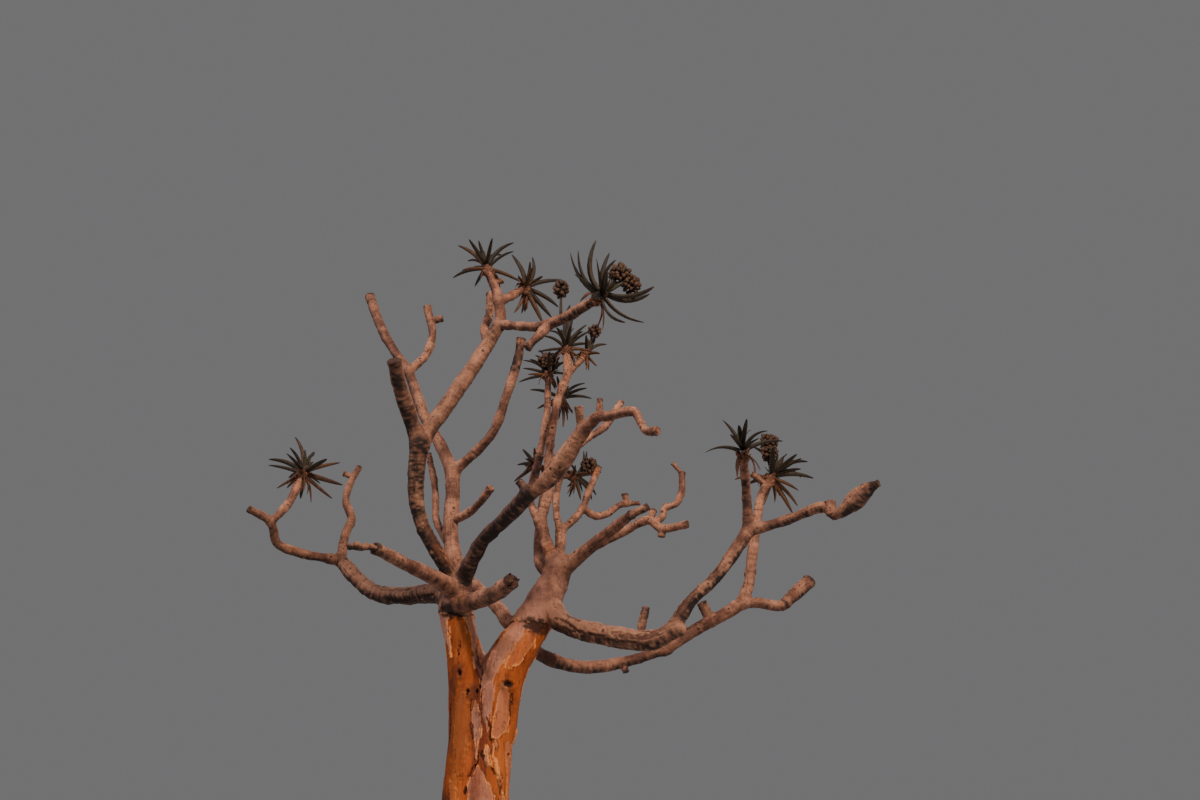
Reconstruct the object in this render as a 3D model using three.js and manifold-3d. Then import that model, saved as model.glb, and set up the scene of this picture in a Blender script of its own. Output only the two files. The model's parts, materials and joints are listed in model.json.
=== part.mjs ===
// A quiver tree (tree aloe): a stout trunk that forks in two, bare dusky boughs with blunt dead ends,
// and a dozen rosettes of stiff leaves on the boughs that still grow.
// Millimetres, +Z up, +X to the right of the front view, origin at the middle of the flat cut at the ground.

import * as THREE from "three";
import { mergeVertices } from "three/addons/utils/BufferGeometryUtils.js";
import Module from "manifold-3d";

const wasm = await Module();
wasm.setup();

// Trunk
const FORK_HEIGHT = 2280;
const TRUNK_TOP = 2270;
const TRUNK_SIDES = 20;
const TRUNK_RINGS = 10;
// The trunk's rings crowd towards the ground by this power
const RING_CROWDING = 1.7;
const SHAFT_HALF_WIDTH = 196;
const SHAFT_HALF_DEPTH = 176;
const SHAFT_TAPER = { gain: 50, fade: 1100 };
const FOOT_FLARE = { gain: 185, fade: 170 };
const FOOT_LOBES = { count: 5, gain: 0.07, fade: 260, turn: 0.7 };
const FORK_NARROWING = { from: 1500, share: 0.45 };
const TRUNK_LEAN = { from: 1400, reach: 46, rise: 760, power: 1.3 };

// Boughs
const BOUGH_SIDES = 8;
const STEM_SIDES = 12;
const RING_SPACING = 160;
// A limb's corners stand out of its true girth by this much, so that its flats lie as far inside it
const CORNER_SWELL = 1.035;
const END_DOME = { length: 0.45, radius: 0.62 };
const STUB_SIDES = 5;
// A stub's foot is this much thicker than its tip
const STUB_TAPER = 1.1;
const NEAREST_STEPS = 60;
const LENGTH_STEPS = 40;

// Leaves. Shares of a leaf's length, each with its share of the leaf's width
const LEAF_OUTLINE = [[0, 0.7], [0.42, 1.15], [1, 0]];
const LEAF_WIDTH = 36;
const LEAF_THICKNESS = 15;
// The leaves of a rosette with a short reach are narrower, by up to this share
const LEAF_SLENDERING = 0.15;
const LEAF_FULL_REACH = 300;
// A leaf's age runs from 0 to 1. Its tilt from the stem's axis is in degrees and its turn in radians;
// its length is a share of the rosette's reach, and its bend is in shares of its length
const LEAF_TILT = { young: 38, gain: 88, power: 0.85, jitter: 18 };
const LEAF_LENGTH = { least: 0.7, gain: 0.26, from: 0.2, span: 0.75, jitter: 0.04 };
const LEAF_BEND = { middle: 0.52, tip: 0.97, lift: 0.06, sag: 0.14 };
const GOLDEN_TURN = 2.39996;
const TURN_JITTER = 0.5;
// How far from its stem's axis a leaf is rooted, as a share of the stem's girth
const LEAF_ROOT = 0.3;
// Shares of a leaf's length where its room is tested, and how far it may pass the rosette's reach
const LEAF_MARKS = [0.3, 0.45, 0.6, 0.75, 0.9, 1];
const REACH_SLACK = 1.08;

// Rosettes: a stem that goes on from its bough and turns up a little; the leaves root on its upper part
const ROSETTE_STEM = 90;
const STEM_TAPER = 0.72;
const LEAFY_SHARE = 0.8;
const HEART_LIFT = 0.15;

// Spent flower heads
const BUD_STALK = 26;
const STALK_SIDES = 5;
const BUD_CORE = 0.82;
const BUD_INSET = 0.74;
const BUD_SWELL = 0.85;

// A later leaf keeps this far from older leaves (a share of a leaf's width), from hearts (a share of
// the rosette's stem) and from the skins of limbs (millimetres, marked at this spacing)
const ROOM = { leaf: 0.8, heart: 0.5, limb: 12, spacing: 30 };

// Every piece stands this far from its neighbours
const CLEARANCE = 0.3;
// Corners nearer than this are one, and edges bent by less than this are taken out
const WELD = 0.01;
const SLIVER = 0.1;
// The minimal-standard random sequence
const DICE = { factor: 16807, prime: 2147483647 };

// Each bough springs from a point on an older limb, "at" being the share of that limb's length, with
// its root girth, and passes through way-points [right, back, up, girth]. Stubs and knots are
// [right, back, up, girth] at their tips and grow from the nearest point of the bough.
const BOUGHS = {
  left_stem: {
    route: [[-50, 0, 1750, 230], [-90, 0, 2280, 250], [-140, -30, 2480, 196],
      [-170, -50, 2620, 196], [-150, -100, 2790, 176]],
  },
  right_stem: {
    route: [[100, 0, 1750, 240], [170, 0, 2280, 296], [290, 30, 2470, 244],
      [415, 75, 2725, 232], [487, 92, 2880, 190], [520, 100, 2985, 156]],
  },
  left_sweep: {
    from: "left_stem", at: 0.9, root: 150,
    route: [[-320, 60, 2770, 136], [-580, 260, 2790, 114], [-830, 460, 2870, 104], [-1150, 720, 3170, 90]],
  },
  sweep_spur: {
    from: "left_sweep", at: 0.98, root: 74,
    route: [[-1130, 780, 3380, 66], [-1100, 810, 3500, 60], [-1160, 830, 3650, 56],
      [-1140, 860, 3810, 50], [-1090, 880, 3940, 46]],
    stubs: [[-1210, 860, 3880, 40]],
  },
  left_reach: {
    from: "left_sweep", at: 0.98, root: 72,
    route: [[-1380, 490, 3150, 66], [-1520, 390, 3190, 64], [-1570, 290, 3330, 60], [-1690, 180, 3390, 52]],
  },
  reach_arm: {
    from: "left_reach", at: 0.79, root: 54,
    route: [[-1520, 290, 3380, 56], [-1450, 320, 3500, 62], [-1400, 380, 3690, 68]],
  },
  front_arm: {
    from: "left_stem", at: 0.96, root: 124,
    route: [[-290, -390, 2790, 98], [-400, -610, 2810, 78], [-560, -910, 2840, 68]],
    stubs: [[-680, -1070, 2810, 30]],
  },
  broken_arm: {
    from: "left_stem", at: 0.88, root: 130,
    route: [[40, -360, 2650, 110], [150, -520, 2660, 106], [240, -660, 2690, 94]],
  },
  tall_bough: {
    from: "left_stem", at: 0.98, root: 110,
    route: [[-260, -180, 2930, 92], [-410, -260, 3180, 88], [-450, -310, 3380, 100], [-420, -390, 3710, 122]],
  },
  tall_stub: {
    from: "tall_bough", at: 0.97, root: 104,
    route: [[-460, -430, 3790, 102], [-540, -640, 4020, 98], [-560, -750, 4130, 88]],
  },
  tall_arm: {
    from: "tall_bough", at: 0.97, root: 112,
    route: [[-360, -360, 3810, 110], [-180, -290, 4150, 106], [-10, -210, 4500, 96],
      [70, -160, 4720, 86], [40, -140, 4930, 74], [-30, -120, 5120, 58]],
    stubs: [[70, -130, 5050, 42]],
  },
  crown_side: {
    from: "tall_arm", at: 0.83, root: 66,
    route: [[160, 0, 5010, 66], [210, 70, 5080, 60]],
  },
  crown_rear: {
    from: "tall_arm", at: 0.6, root: 76,
    route: [[-60, 40, 4740, 66], [-40, 160, 4940, 64], [-50, 250, 5120, 60]],
  },
  crown_arm: {
    from: "tall_arm", at: 0.71, root: 70,
    route: [[240, -310, 4580, 58], [360, -420, 4530, 68], [510, -550, 4530, 76], [660, -690, 4550, 70],
      [760, -760, 4580, 60]],
    stubs: [[310, -370, 4430, 62]],
  },
  cross_bough: {
    from: "right_stem", at: 0.74, root: 116,
    route: [[190, 160, 2590, 104], [90, 260, 2710, 86], [-50, 360, 2850, 90], [-160, 420, 2950, 102],
      [-270, 460, 3110, 112]],
  },
  rear_bough: {
    from: "cross_bough", at: 0.98, root: 112,
    route: [[-300, 480, 3330, 114], [-300, 520, 3620, 110], [-310, 520, 3810, 118]],
  },
  rear_left: {
    from: "rear_bough", at: 0.97, root: 96,
    route: [[-430, 580, 4040, 88], [-560, 650, 4270, 88], [-730, 720, 4700, 82]],
  },
  rear_left_tip: {
    from: "rear_left", at: 0.98, root: 72,
    route: [[-910, 810, 4970, 78], [-1020, 910, 5190, 76], [-1150, 1070, 5510, 78]],
  },
  rear_left_twig: {
    from: "rear_left", at: 0.98, root: 68,
    route: [[-610, 810, 4860, 70], [-580, 900, 5080, 66], [-650, 1010, 5380, 68]],
    stubs: [[-520, 960, 5260, 52]],
  },
  rear_right: {
    from: "rear_bough", at: 0.97, root: 84,
    route: [[-170, 440, 3880, 76], [0, 340, 4040, 70], [100, 290, 4330, 68], [170, 290, 4600, 66],
      [190, 290, 4760, 64]],
  },
  rear_spur: {
    from: "rear_bough", at: 0.42, root: 60,
    route: [[-150, 360, 3430, 54], [-70, 260, 3470, 58], [10, 160, 3540, 54]],
  },
  rear_twig: {
    from: "rear_bough", at: 0.12, root: 62,
    route: [[-420, 610, 3430, 56], [-460, 690, 3720, 52], [-530, 750, 4000, 38]],
  },
  dark_bough: {
    from: "left_stem", at: 0.98, root: 116,
    route: [[20, -360, 3020, 92], [200, -580, 3130, 96], [350, -790, 3230, 102]],
    stubs: [[280, -780, 3320, 54]],
  },
  elbow_bough: {
    from: "dark_bough", at: 0.98, root: 84,
    route: [[440, -860, 3260, 76], [510, -920, 3320, 112], [590, -1000, 3410, 94], [680, -1090, 3520, 80]],
    stubs: [[660, -1140, 3660, 48]],
  },
  hooked_arm: {
    from: "elbow_bough", at: 0.98, root: 76,
    route: [[780, -1200, 3580, 72], [830, -1240, 3570, 56], [990, -1360, 3550, 58], [1030, -1400, 3470, 44],
      [1060, -1450, 3400, 42], [1110, -1500, 3380, 52]],
    stubs: [[790, -1200, 3690, 36]],
  },
  elbow_twig: {
    from: "elbow_bough", at: 0.66, root: 56,
    route: [[690, -860, 3550, 50], [820, -780, 3670, 48], [930, -720, 3860, 42]],
  },
  right_bough: {
    from: "right_stem", at: 0.8, root: 160,
    route: [[530, -60, 2560, 134], [840, -360, 2415, 126], [1110, -600, 2345, 118], [1260, -680, 2400, 100]],
    stubs: [[1080, -530, 2550, 40]],
  },
  right_riser: {
    from: "right_bough", at: 0.97, root: 92,
    route: [[1350, -690, 2580, 76], [1500, -680, 2710, 76], [1740, -610, 3040, 86]],
  },
  right_post: {
    from: "right_riser", at: 0.98, root: 66,
    route: [[1710, -680, 3270, 60], [1690, -770, 3460, 56]],
  },
  right_tip: {
    from: "right_riser", at: 0.98, root: 68,
    route: [[1950, -700, 3070, 64], [2180, -830, 3120, 62], [2230, -860, 3060, 46], [2270, -900, 3070, 54],
      [2350, -940, 3130, 84], [2420, -990, 3180, 64], [2470, -1040, 3210, 40]],
  },
  low_bough: {
    from: "right_stem", at: 0.61, root: 116,
    route: [[350, 200, 2410, 98], [600, 340, 2330, 86], [850, 460, 2350, 82], [1270, 470, 2460, 70]],
    stubs: [[970, 460, 2310, 46]],
  },
  low_rise: {
    from: "low_bough", at: 0.98, root: 70,
    route: [[1430, 420, 2570, 92], [1750, 360, 2740, 84], [1810, 360, 2780, 84]],
    stubs: [[1510, 390, 2760, 60]],
  },
  low_post: {
    from: "low_rise", at: 0.97, root: 84,
    route: [[1850, 390, 2950, 72], [1870, 390, 3100, 70], [1930, 400, 3410, 58], [1980, 430, 3590, 60],
      [2045, 460, 3690, 64]],
    stubs: [[1920, 430, 3740, 42], [1810, 390, 2990, 40]],
  },
  low_tip: {
    from: "low_rise", at: 0.97, root: 78,
    route: [[1920, 420, 2780, 76], [2080, 470, 2770, 68], [2160, 520, 2840, 76], [2310, 600, 2970, 74]],
  },
  fan_bough: {
    from: "right_stem", at: 0.92, root: 124,
    route: [[610, -30, 2970, 100], [780, -210, 3070, 84], [990, -440, 3180, 62]],
    stubs: [[1100, -490, 3220, 44]],
  },
  fan_lower: {
    from: "fan_bough", at: 0.44, root: 64,
    route: [[930, -130, 3140, 54], [1120, -210, 3210, 58], [1200, -260, 3140, 54], [1360, -360, 3140, 46]],
    stubs: [[1150, -170, 3280, 42], [1200, -260, 3090, 46]],
  },
  fan_hook: {
    from: "fan_lower", at: 0.66, root: 50,
    route: [[1270, -220, 3290, 44], [1330, -210, 3350, 42], [1350, -200, 3440, 44], [1360, -180, 3550, 42]],
    stubs: [[1300, -180, 3620, 26]],
  },
  mid_bough: {
    from: "right_stem", at: 0.97, root: 96,
    route: [[510, 310, 3180, 74], [510, 360, 3300, 70]],
  },
  mid_post: {
    from: "mid_bough", at: 0.96, root: 56,
    route: [[470, 470, 3470, 52], [480, 570, 3700, 48], [510, 620, 3780, 44], [570, 680, 3800, 42]],
  },
  mid_arm: {
    from: "mid_bough", at: 0.96, root: 62,
    route: [[650, 420, 3450, 54], [720, 490, 3650, 50], [780, 560, 3830, 48]],
  },
  mid_reach: {
    from: "mid_arm", at: 0.4, root: 52,
    route: [[760, 470, 3430, 50], [840, 520, 3460, 46], [950, 580, 3550, 54], [1080, 680, 3590, 36]],
    stubs: [[980, 600, 3630, 42]],
  },
  near_shaft: {
    from: "right_stem", at: 0.96, root: 118,
    route: [[430, 210, 3120, 92], [360, 290, 3350, 88]],
  },
  left_shaft: {
    from: "near_shaft", at: 0.97, root: 74,
    route: [[280, 420, 3540, 70], [300, 550, 3760, 66], [370, 810, 4300, 62], [370, 1000, 4740, 58]],
  },
  right_shaft: {
    from: "near_shaft", at: 0.97, root: 74,
    route: [[420, 310, 3580, 72], [410, 360, 3820, 68], [460, 490, 4340, 62], [540, 560, 4610, 70],
      [530, 580, 4780, 58]],
  },
  rear_shaft: {
    from: "right_stem", at: 0.92, root: 120,
    route: [[370, 340, 3060, 88], [350, 550, 3420, 62], [390, 810, 3880, 62], [430, 1090, 4490, 58],
      [460, 1130, 4580, 58]],
  },
};

// Each rosette closes a bough: how far its leaves reach, how many it bears, and its seed. Where it
// holds a spent flower head, "buds" gives that head's middle, its half sizes and the number of buds.
const ROSETTES = {
  reach_rosette: { on: "reach_arm", reach: 300, leaves: 18, seed: 11 },
  crown_rosette: { on: "tall_arm", reach: 275, leaves: 18, seed: 23 },
  side_rosette: { on: "crown_side", reach: 290, leaves: 18, seed: 37 },
  fruiting_rosette: {
    on: "crown_arm", reach: 355, leaves: 18, seed: 41,
    buds: { middle: [960, -780, 4720], half: [85, 70, 105], count: 8 },
  },
  top_rosette: { on: "right_shaft", reach: 255, leaves: 18, seed: 53 },
  twig_rosette: { on: "right_shaft", at: 0.86, by: [[660, 650, 4780, 48]], reach: 185, leaves: 14, seed: 61 },
  left_shaft_rosette: {
    on: "left_shaft", reach: 245, leaves: 18, seed: 71,
    buds: { middle: [370, 1000, 4900], half: [70, 60, 70], count: 6 },
  },
  rear_shaft_rosette: { on: "rear_shaft", reach: 265, leaves: 18, seed: 83 },
  mid_rosette: {
    on: "mid_post", reach: 225, leaves: 18, seed: 97,
    buds: { middle: [710, 730, 3900], half: [55, 50, 70], count: 6 },
  },
  dark_rosette: { on: "left_shaft", at: 0.36, by: [[300, 690, 3880, 44]], reach: 190, leaves: 13, seed: 101 },
  post_rosette: { on: "right_post", reach: 275, leaves: 18, seed: 113 },
  low_rosette: {
    on: "low_post", reach: 310, leaves: 18, seed: 127,
    buds: { middle: [2060, 460, 3960], half: [60, 55, 100], count: 7 },
  },
};

// A spent flower head that stands on a bough by itself
const LONE_BUDS = {
  bud_cluster: { on: "crown_arm", at: 0.5, middle: [520, -520, 4790], half: [50, 45, 55], count: 6 },
};

const PALETTE = {
  trunk: { color: 0xa8652c, roughness: 0.82 },
  bark: { color: 0x9b7f78, roughness: 0.88 },
  dark: { color: 0x5b4640, roughness: 0.9 },
  leaf: { color: 0x3a3a22, roughness: 0.6 },
};
const DARK_BOUGHS = new Set(["dark_bough", "broken_arm"]);

// Seeded random numbers between 0 and 1
function dice(seed) {
  let state = seed;
  return () => {
    state = (state * DICE.factor) % DICE.prime;
    return state / DICE.prime;
  };
}

// A closed three.js shape as a solid that can be joined and cut
function solidOf(geometry) {
  const bare = geometry.clone();
  bare.deleteAttribute("normal");
  bare.deleteAttribute("uv");
  const welded = mergeVertices(bare, WELD);
  return new wasm.Manifold(new wasm.Mesh({
    numProp: 3,
    vertProperties: welded.getAttribute("position").array,
    triVerts: new Uint32Array(welded.getIndex().array),
  }));
}

// A solid as a three.js shape, without the slivers that cuts leave
function geometryOf(solid) {
  const mesh = solid.asOriginal().simplify(SLIVER).getMesh();
  const geometry = new THREE.BufferGeometry();
  geometry.setAttribute("position", new THREE.BufferAttribute(mesh.vertProperties, 3));
  geometry.setIndex(new THREE.BufferAttribute(mesh.triVerts, 1));
  geometry.computeVertexNormals();
  return geometry;
}

// The biggest of the bodies that a cut leaves
function mainBody(solid) {
  const bodies = solid.decompose();
  return bodies.reduce((best, body) => (body.volume() > best.volume() ? body : best));
}

function join(solids) {
  return solids.reduce((sum, solid) => sum.add(solid));
}

// A drum or cone along Y, one unit long, carried along a curve: stations[i] is ring i's place as
// { middle, side, tangent, half: [across, through] }
function carry(form, stations) {
  const last = stations.length - 1;
  const corners = form.getAttribute("position");
  const corner = new THREE.Vector3();
  for (let i = 0; i < corners.count; i += 1) {
    corner.fromBufferAttribute(corners, i);
    const { middle, side, tangent, half } = stations[Math.round((corner.y + 0.5) * last)];
    const through = new THREE.Vector3().crossVectors(side, tangent);
    const arm = new THREE.Vector2(corner.x, corner.z).normalize();
    const place = middle.clone().addScaledVector(side, arm.x * half[0]).addScaledVector(through, arm.y * half[1]);
    corners.setXYZ(i, place.x, place.y, place.z);
  }
  return form;
}

// One limb: its curve through the way-points, and its radius at a share of its length
function limbLine(points, girths) {
  const curve = new THREE.CatmullRomCurve3(points, false, "centripetal");
  const spans = curve.getLengths(points.length * LENGTH_STEPS);
  const marks = points.map((_, i) => spans[Math.round((i / (points.length - 1)) * (spans.length - 1))]);
  const length = spans[spans.length - 1];
  const radius = (share) => {
    const walked = share * length;
    let i = 1;
    while (i < marks.length - 1 && marks[i] < walked) i += 1;
    const part = (walked - marks[i - 1]) / (marks[i] - marks[i - 1]);
    return THREE.MathUtils.lerp(girths[i - 1], girths[i], THREE.MathUtils.clamp(part, 0, 1)) / 2;
  };
  return { curve, length, radius };
}

// A tapering limb with a blunt, domed end; "grown" makes it that much larger all round
function limbSolid(line, sides, grown = 0) {
  const steps = Math.max(2, Math.round(line.length / RING_SPACING));
  const frames = line.curve.computeFrenetFrames(steps, false);
  const stations = frames.normals.map((side, i) => {
    const share = i / steps;
    const half = line.radius(share) * CORNER_SWELL + grown;
    return { middle: line.curve.getPointAt(share), side, tangent: frames.tangents[i], half: [half, half] };
  });
  stations[0].middle.addScaledVector(stations[0].tangent, -grown);
  const rim = stations[steps];
  const dome = line.radius(1);
  stations.push({
    ...rim,
    middle: rim.middle.clone().addScaledVector(rim.tangent, dome * END_DOME.length + grown),
    half: rim.half.map((half) => half * END_DOME.radius),
  });
  return solidOf(carry(new THREE.CylinderGeometry(1, 1, 1, sides, steps + 1), stations));
}

function nearestOn(line, target) {
  const shares = Array.from({ length: NEAREST_STEPS + 1 }, (_, i) => i / NEAREST_STEPS);
  const gap = (share) => line.curve.getPointAt(share).distanceTo(target);
  return shares.reduce((best, share) => (gap(share) < gap(best) ? share : best));
}

function vectorOf([x, y, z]) {
  return new THREE.Vector3(x, y, z);
}

// All the limbs' lines, in the table's order, so that each finds the one it springs from
const lines = {};
for (const [name, bough] of Object.entries(BOUGHS)) {
  const points = bough.route.map(vectorOf);
  const girths = bough.route.map((point) => point[3]);
  if (bough.from) {
    points.unshift(lines[bough.from].main.curve.getPointAt(bough.at));
    girths.unshift(bough.root);
  }
  const main = limbLine(points, girths);
  const stubs = (bough.stubs ?? []).map((stub) => {
    const foot = main.curve.getPointAt(nearestOn(main, vectorOf(stub)));
    return limbLine([foot, vectorOf(stub)], [stub[3] * STUB_TAPER, stub[3]]);
  });
  lines[name] = { main, stubs, sides: bough.from ? BOUGH_SIDES : STEM_SIDES };
}

function boughSolid({ main, stubs, sides }, grown = 0) {
  return join([limbSolid(main, sides, grown), ...stubs.map((stub) => limbSolid(stub, STUB_SIDES, grown))]);
}

// A block wider than the trunk, between two levels
function blockAt(bottom, top) {
  return solidOf(new THREE.BoxGeometry(top, top, top - bottom).translate(0, 0, (bottom + top) / 2));
}

// The trunk's rings: an oval that narrows from a lobed foot to the shaft and leans to the right
function trunkShaft(grown = 0) {
  const fade = ({ gain, fade: depth }, height) => gain * Math.exp(-height / depth);
  const form = new THREE.CylinderGeometry(1, 1, 1, TRUNK_SIDES, TRUNK_RINGS);
  form.rotateX(Math.PI / 2);
  const corners = form.getAttribute("position");
  for (let i = 0; i < corners.count; i += 1) {
    const share = corners.getZ(i) + 0.5;
    const height = TRUNK_TOP * share ** RING_CROWDING;
    const turn = Math.atan2(corners.getY(i), corners.getX(i));
    const rim = Math.hypot(corners.getX(i), corners.getY(i));
    const swell = fade(SHAFT_TAPER, height) + fade(FOOT_FLARE, height) + grown;
    const lobe = 1 + fade(FOOT_LOBES, height) * Math.cos(FOOT_LOBES.count * turn + FOOT_LOBES.turn);
    const climbed = Math.max(0, height - TRUNK_LEAN.from) / TRUNK_LEAN.rise;
    const narrow = 1 - FORK_NARROWING.share * THREE.MathUtils.smoothstep(height, FORK_NARROWING.from, TRUNK_TOP);
    corners.setXYZ(
      i,
      TRUNK_LEAN.reach * climbed ** TRUNK_LEAN.power + Math.cos(turn) * rim * lobe * (SHAFT_HALF_WIDTH + swell),
      Math.sin(turn) * rim * lobe * narrow * (SHAFT_HALF_DEPTH + swell),
      height,
    );
  }
  return solidOf(form);
}

const solids = {};
const grownSolids = {};
const STEMS = ["left_stem", "right_stem"];

function cutClear(solid, names = Object.keys(grownSolids)) {
  return mainBody(names.reduce((left, name) => left.subtract(grownSolids[name]), solid));
}

// The trunk takes both stems' feet, up to the level of the notch between them
const stemFeet = STEMS.map((name) => boughSolid(lines[name]));
solids.trunk = mainBody(join([trunkShaft(), ...stemFeet]).subtract(blockAt(FORK_HEIGHT, FORK_HEIGHT * 2)));
const belowFork = blockAt(-CLEARANCE, FORK_HEIGHT + CLEARANCE);
for (const name of Object.keys(BOUGHS)) {
  const whole = boughSolid(lines[name]);
  solids[name] = cutClear(STEMS.includes(name) ? whole.subtract(belowFork) : whole);
  grownSolids[name] = boughSolid(lines[name], CLEARANCE);
}
grownSolids.trunk = join([trunkShaft(CLEARANCE), ...STEMS.map((name) => grownSolids[name])]);

// Places that a leaf has to stay clear of: [point, distance, name]
const crowded = [];
for (const [name, { main, stubs }] of Object.entries(lines)) {
  for (const line of [main, ...stubs]) {
    const steps = Math.ceil(line.length / ROOM.spacing);
    for (let i = 0; i <= steps; i += 1) {
      crowded.push([line.curve.getPointAt(i / steps), line.radius(i / steps) + ROOM.limb, name]);
    }
  }
}

function isFree(points, own) {
  return crowded.every(([place, room, name]) => points.every((point, i) => (
    (name === own && i < points.length / 2) || point.distanceTo(place) > room
  )));
}

// A stiff leaf: a three-sided lance, widest near its root, that bows from its root to its tip
function leafSolid({ curve, side, width }, grown) {
  const stations = LEAF_OUTLINE.map(([share, size]) => ({
    middle: curve.getPointAt(share),
    tangent: curve.getTangentAt(share),
    side,
    half: [(width / 2) * size + grown, (LEAF_THICKNESS / 2) * size + grown],
  }));
  const tip = stations[stations.length - 1];
  tip.middle.addScaledVector(tip.tangent, grown * width);
  return solidOf(carry(new THREE.ConeGeometry(1, 1, 3, stations.length - 1), stations));
}

// Leaf number i of a rosette: the young ones stand along the stem's axis, the old ones hang back
function leafPlan({ reach, leaves }, { heart, axis, girth }, i, roll) {
  const age = (i + 0.5) / leaves;
  const turn = i * GOLDEN_TURN + (roll() - 0.5) * TURN_JITTER;
  const tilt = LEAF_TILT.young + LEAF_TILT.gain * age ** LEAF_TILT.power + (roll() - 0.5) * LEAF_TILT.jitter;
  const prime = Math.sin(Math.PI * (LEAF_LENGTH.from + LEAF_LENGTH.span * age));
  const length = reach * (LEAF_LENGTH.least + LEAF_LENGTH.gain * prime + LEAF_LENGTH.jitter * roll());
  const first = new THREE.Vector3(0, 1, 0).cross(axis).normalize();
  const second = axis.clone().cross(first);
  const out = first.multiplyScalar(Math.cos(turn)).addScaledVector(second, Math.sin(turn));
  const aim = axis.clone().applyAxisAngle(axis.clone().cross(out), THREE.MathUtils.degToRad(tilt));
  const root = heart.clone().addScaledVector(axis, -ROSETTE_STEM * LEAFY_SHARE * age);
  root.addScaledVector(out, LEAF_ROOT * girth);
  const middle = root.clone().addScaledVector(aim, length * LEAF_BEND.middle);
  const tip = root.clone().addScaledVector(aim, length * LEAF_BEND.tip);
  tip.z += length * (LEAF_BEND.lift - LEAF_BEND.sag * age);
  return {
    curve: new THREE.QuadraticBezierCurve3(root, middle, tip),
    side: aim.clone().cross(axis).normalize(),
    width: LEAF_WIDTH * (1 - LEAF_SLENDERING * (1 - reach / LEAF_FULL_REACH)),
  };
}

// A spent flower head: a short stalk, an egg-shaped core and the buds that stand out of it, by the golden turn
function budPlan(foot, { middle, half, count }) {
  const heart = vectorOf(middle);
  const places = Array.from({ length: count }, (_, i) => {
    const rise = 1 - (2 * (i + 0.5)) / count;
    const ring = Math.sqrt(1 - rise * rise);
    const spot = new THREE.Vector3(ring * Math.cos(i * GOLDEN_TURN), ring * Math.sin(i * GOLDEN_TURN), rise);
    return heart.clone().add(spot.multiply(vectorOf(half)).multiplyScalar(BUD_INSET));
  });
  const size = Math.cbrt((half[0] * half[1] * half[2]) / count) * BUD_SWELL;
  return { stalk: limbLine([foot, heart], [BUD_STALK, BUD_STALK]), heart, half, places, size };
}

function budSolids({ stalk, heart, half, places, size }, grown) {
  const egg = half.map((reach) => reach * BUD_CORE + grown * 2);
  const core = new THREE.IcosahedronGeometry(1, 0).scale(...egg).translate(heart.x, heart.y, heart.z);
  const bud = (place) => new THREE.OctahedronGeometry(size + grown * 2, 0).translate(place.x, place.y, place.z);
  return [limbSolid(stalk, STALK_SIDES, grown), solidOf(core), ...places.map((place) => solidOf(bud(place)))];
}

// A rosette: its stem, the leaves that have room, and its flower head
function rosettePlan(name, rosette) {
  const roll = dice(rosette.seed);
  const bough = lines[rosette.on].main;
  const path = [bough.curve.getPointAt(rosette.at ?? 1), ...(rosette.by ?? []).map(vectorOf)];
  const end = path[path.length - 1];
  const axis = rosette.by ? end.clone().sub(path[0]).normalize() : bough.curve.getTangentAt(1);
  axis.z += HEART_LIFT;
  axis.normalize();
  const girth = rosette.by ? rosette.by[0][3] : bough.radius(1) * 2;
  const heart = end.clone().addScaledVector(axis, ROSETTE_STEM);
  const stem = limbLine([...path, heart], [...path.map(() => girth), girth * STEM_TAPER]);
  const taken = [[heart, ROSETTE_STEM * ROOM.heart, name]];
  const leaves = [];
  for (let i = 0; i < rosette.leaves; i += 1) {
    const leaf = leafPlan(rosette, { heart, axis, girth }, i, roll);
    const points = LEAF_MARKS.map((share) => leaf.curve.getPointAt(share));
    const inside = points.every((point) => point.distanceTo(heart) < rosette.reach * REACH_SLACK);
    if (inside && isFree(points, rosette.on)) {
      leaves.push(leaf);
      taken.push(...points.map((point) => [point, LEAF_WIDTH * ROOM.leaf, name]));
    }
  }
  const buds = rosette.buds ? budPlan(heart, rosette.buds) : null;
  if (buds) taken.push([vectorOf(rosette.buds.middle), Math.max(...rosette.buds.half), name]);
  crowded.push(...taken);
  return { stem, leaves, buds };
}

function rosetteSolid({ stem, leaves, buds }, grown = 0) {
  return join([
    limbSolid(stem, BOUGH_SIDES, grown),
    ...leaves.map((leaf) => leafSolid(leaf, grown)),
    ...(buds ? budSolids(buds, grown) : []),
  ]);
}

for (const [name, buds] of Object.entries(LONE_BUDS)) {
  const plan = budPlan(lines[buds.on].main.curve.getPointAt(buds.at), buds);
  solids[name] = cutClear(join(budSolids(plan, 0)));
  grownSolids[name] = join(budSolids(plan, CLEARANCE));
  crowded.push([vectorOf(buds.middle), Math.max(...buds.half), name]);
}
for (const [name, rosette] of Object.entries(ROSETTES)) {
  const plan = rosettePlan(name, rosette);
  solids[name] = cutClear(rosetteSolid(plan));
  grownSolids[name] = rosetteSolid(plan, CLEARANCE);
}

function materialOf(name) {
  let look = PALETTE.bark;
  if (name === "trunk") look = PALETTE.trunk;
  if (DARK_BOUGHS.has(name)) look = PALETTE.dark;
  if (name in ROSETTES || name in LONE_BUDS) look = PALETTE.leaf;
  return new THREE.MeshStandardMaterial({ ...look, metalness: 0 });
}

const tree = new THREE.Group();
for (const [name, solid] of Object.entries(solids)) {
  const mesh = new THREE.Mesh(geometryOf(solid), materialOf(name));
  mesh.name = name;
  tree.add(mesh);
}

export default tree;
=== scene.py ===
"""Bark, leaves and flower heads of an old quiver tree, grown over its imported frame.

Metres, +Z up, +X to the right of the front view. The limbs follow the same table of named sizes as
the solids, in millimetres: each springs from a point of an older limb, has a root girth, and passes
through way-points (right, back, up, girth).
"""

import itertools
import json
import math

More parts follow.
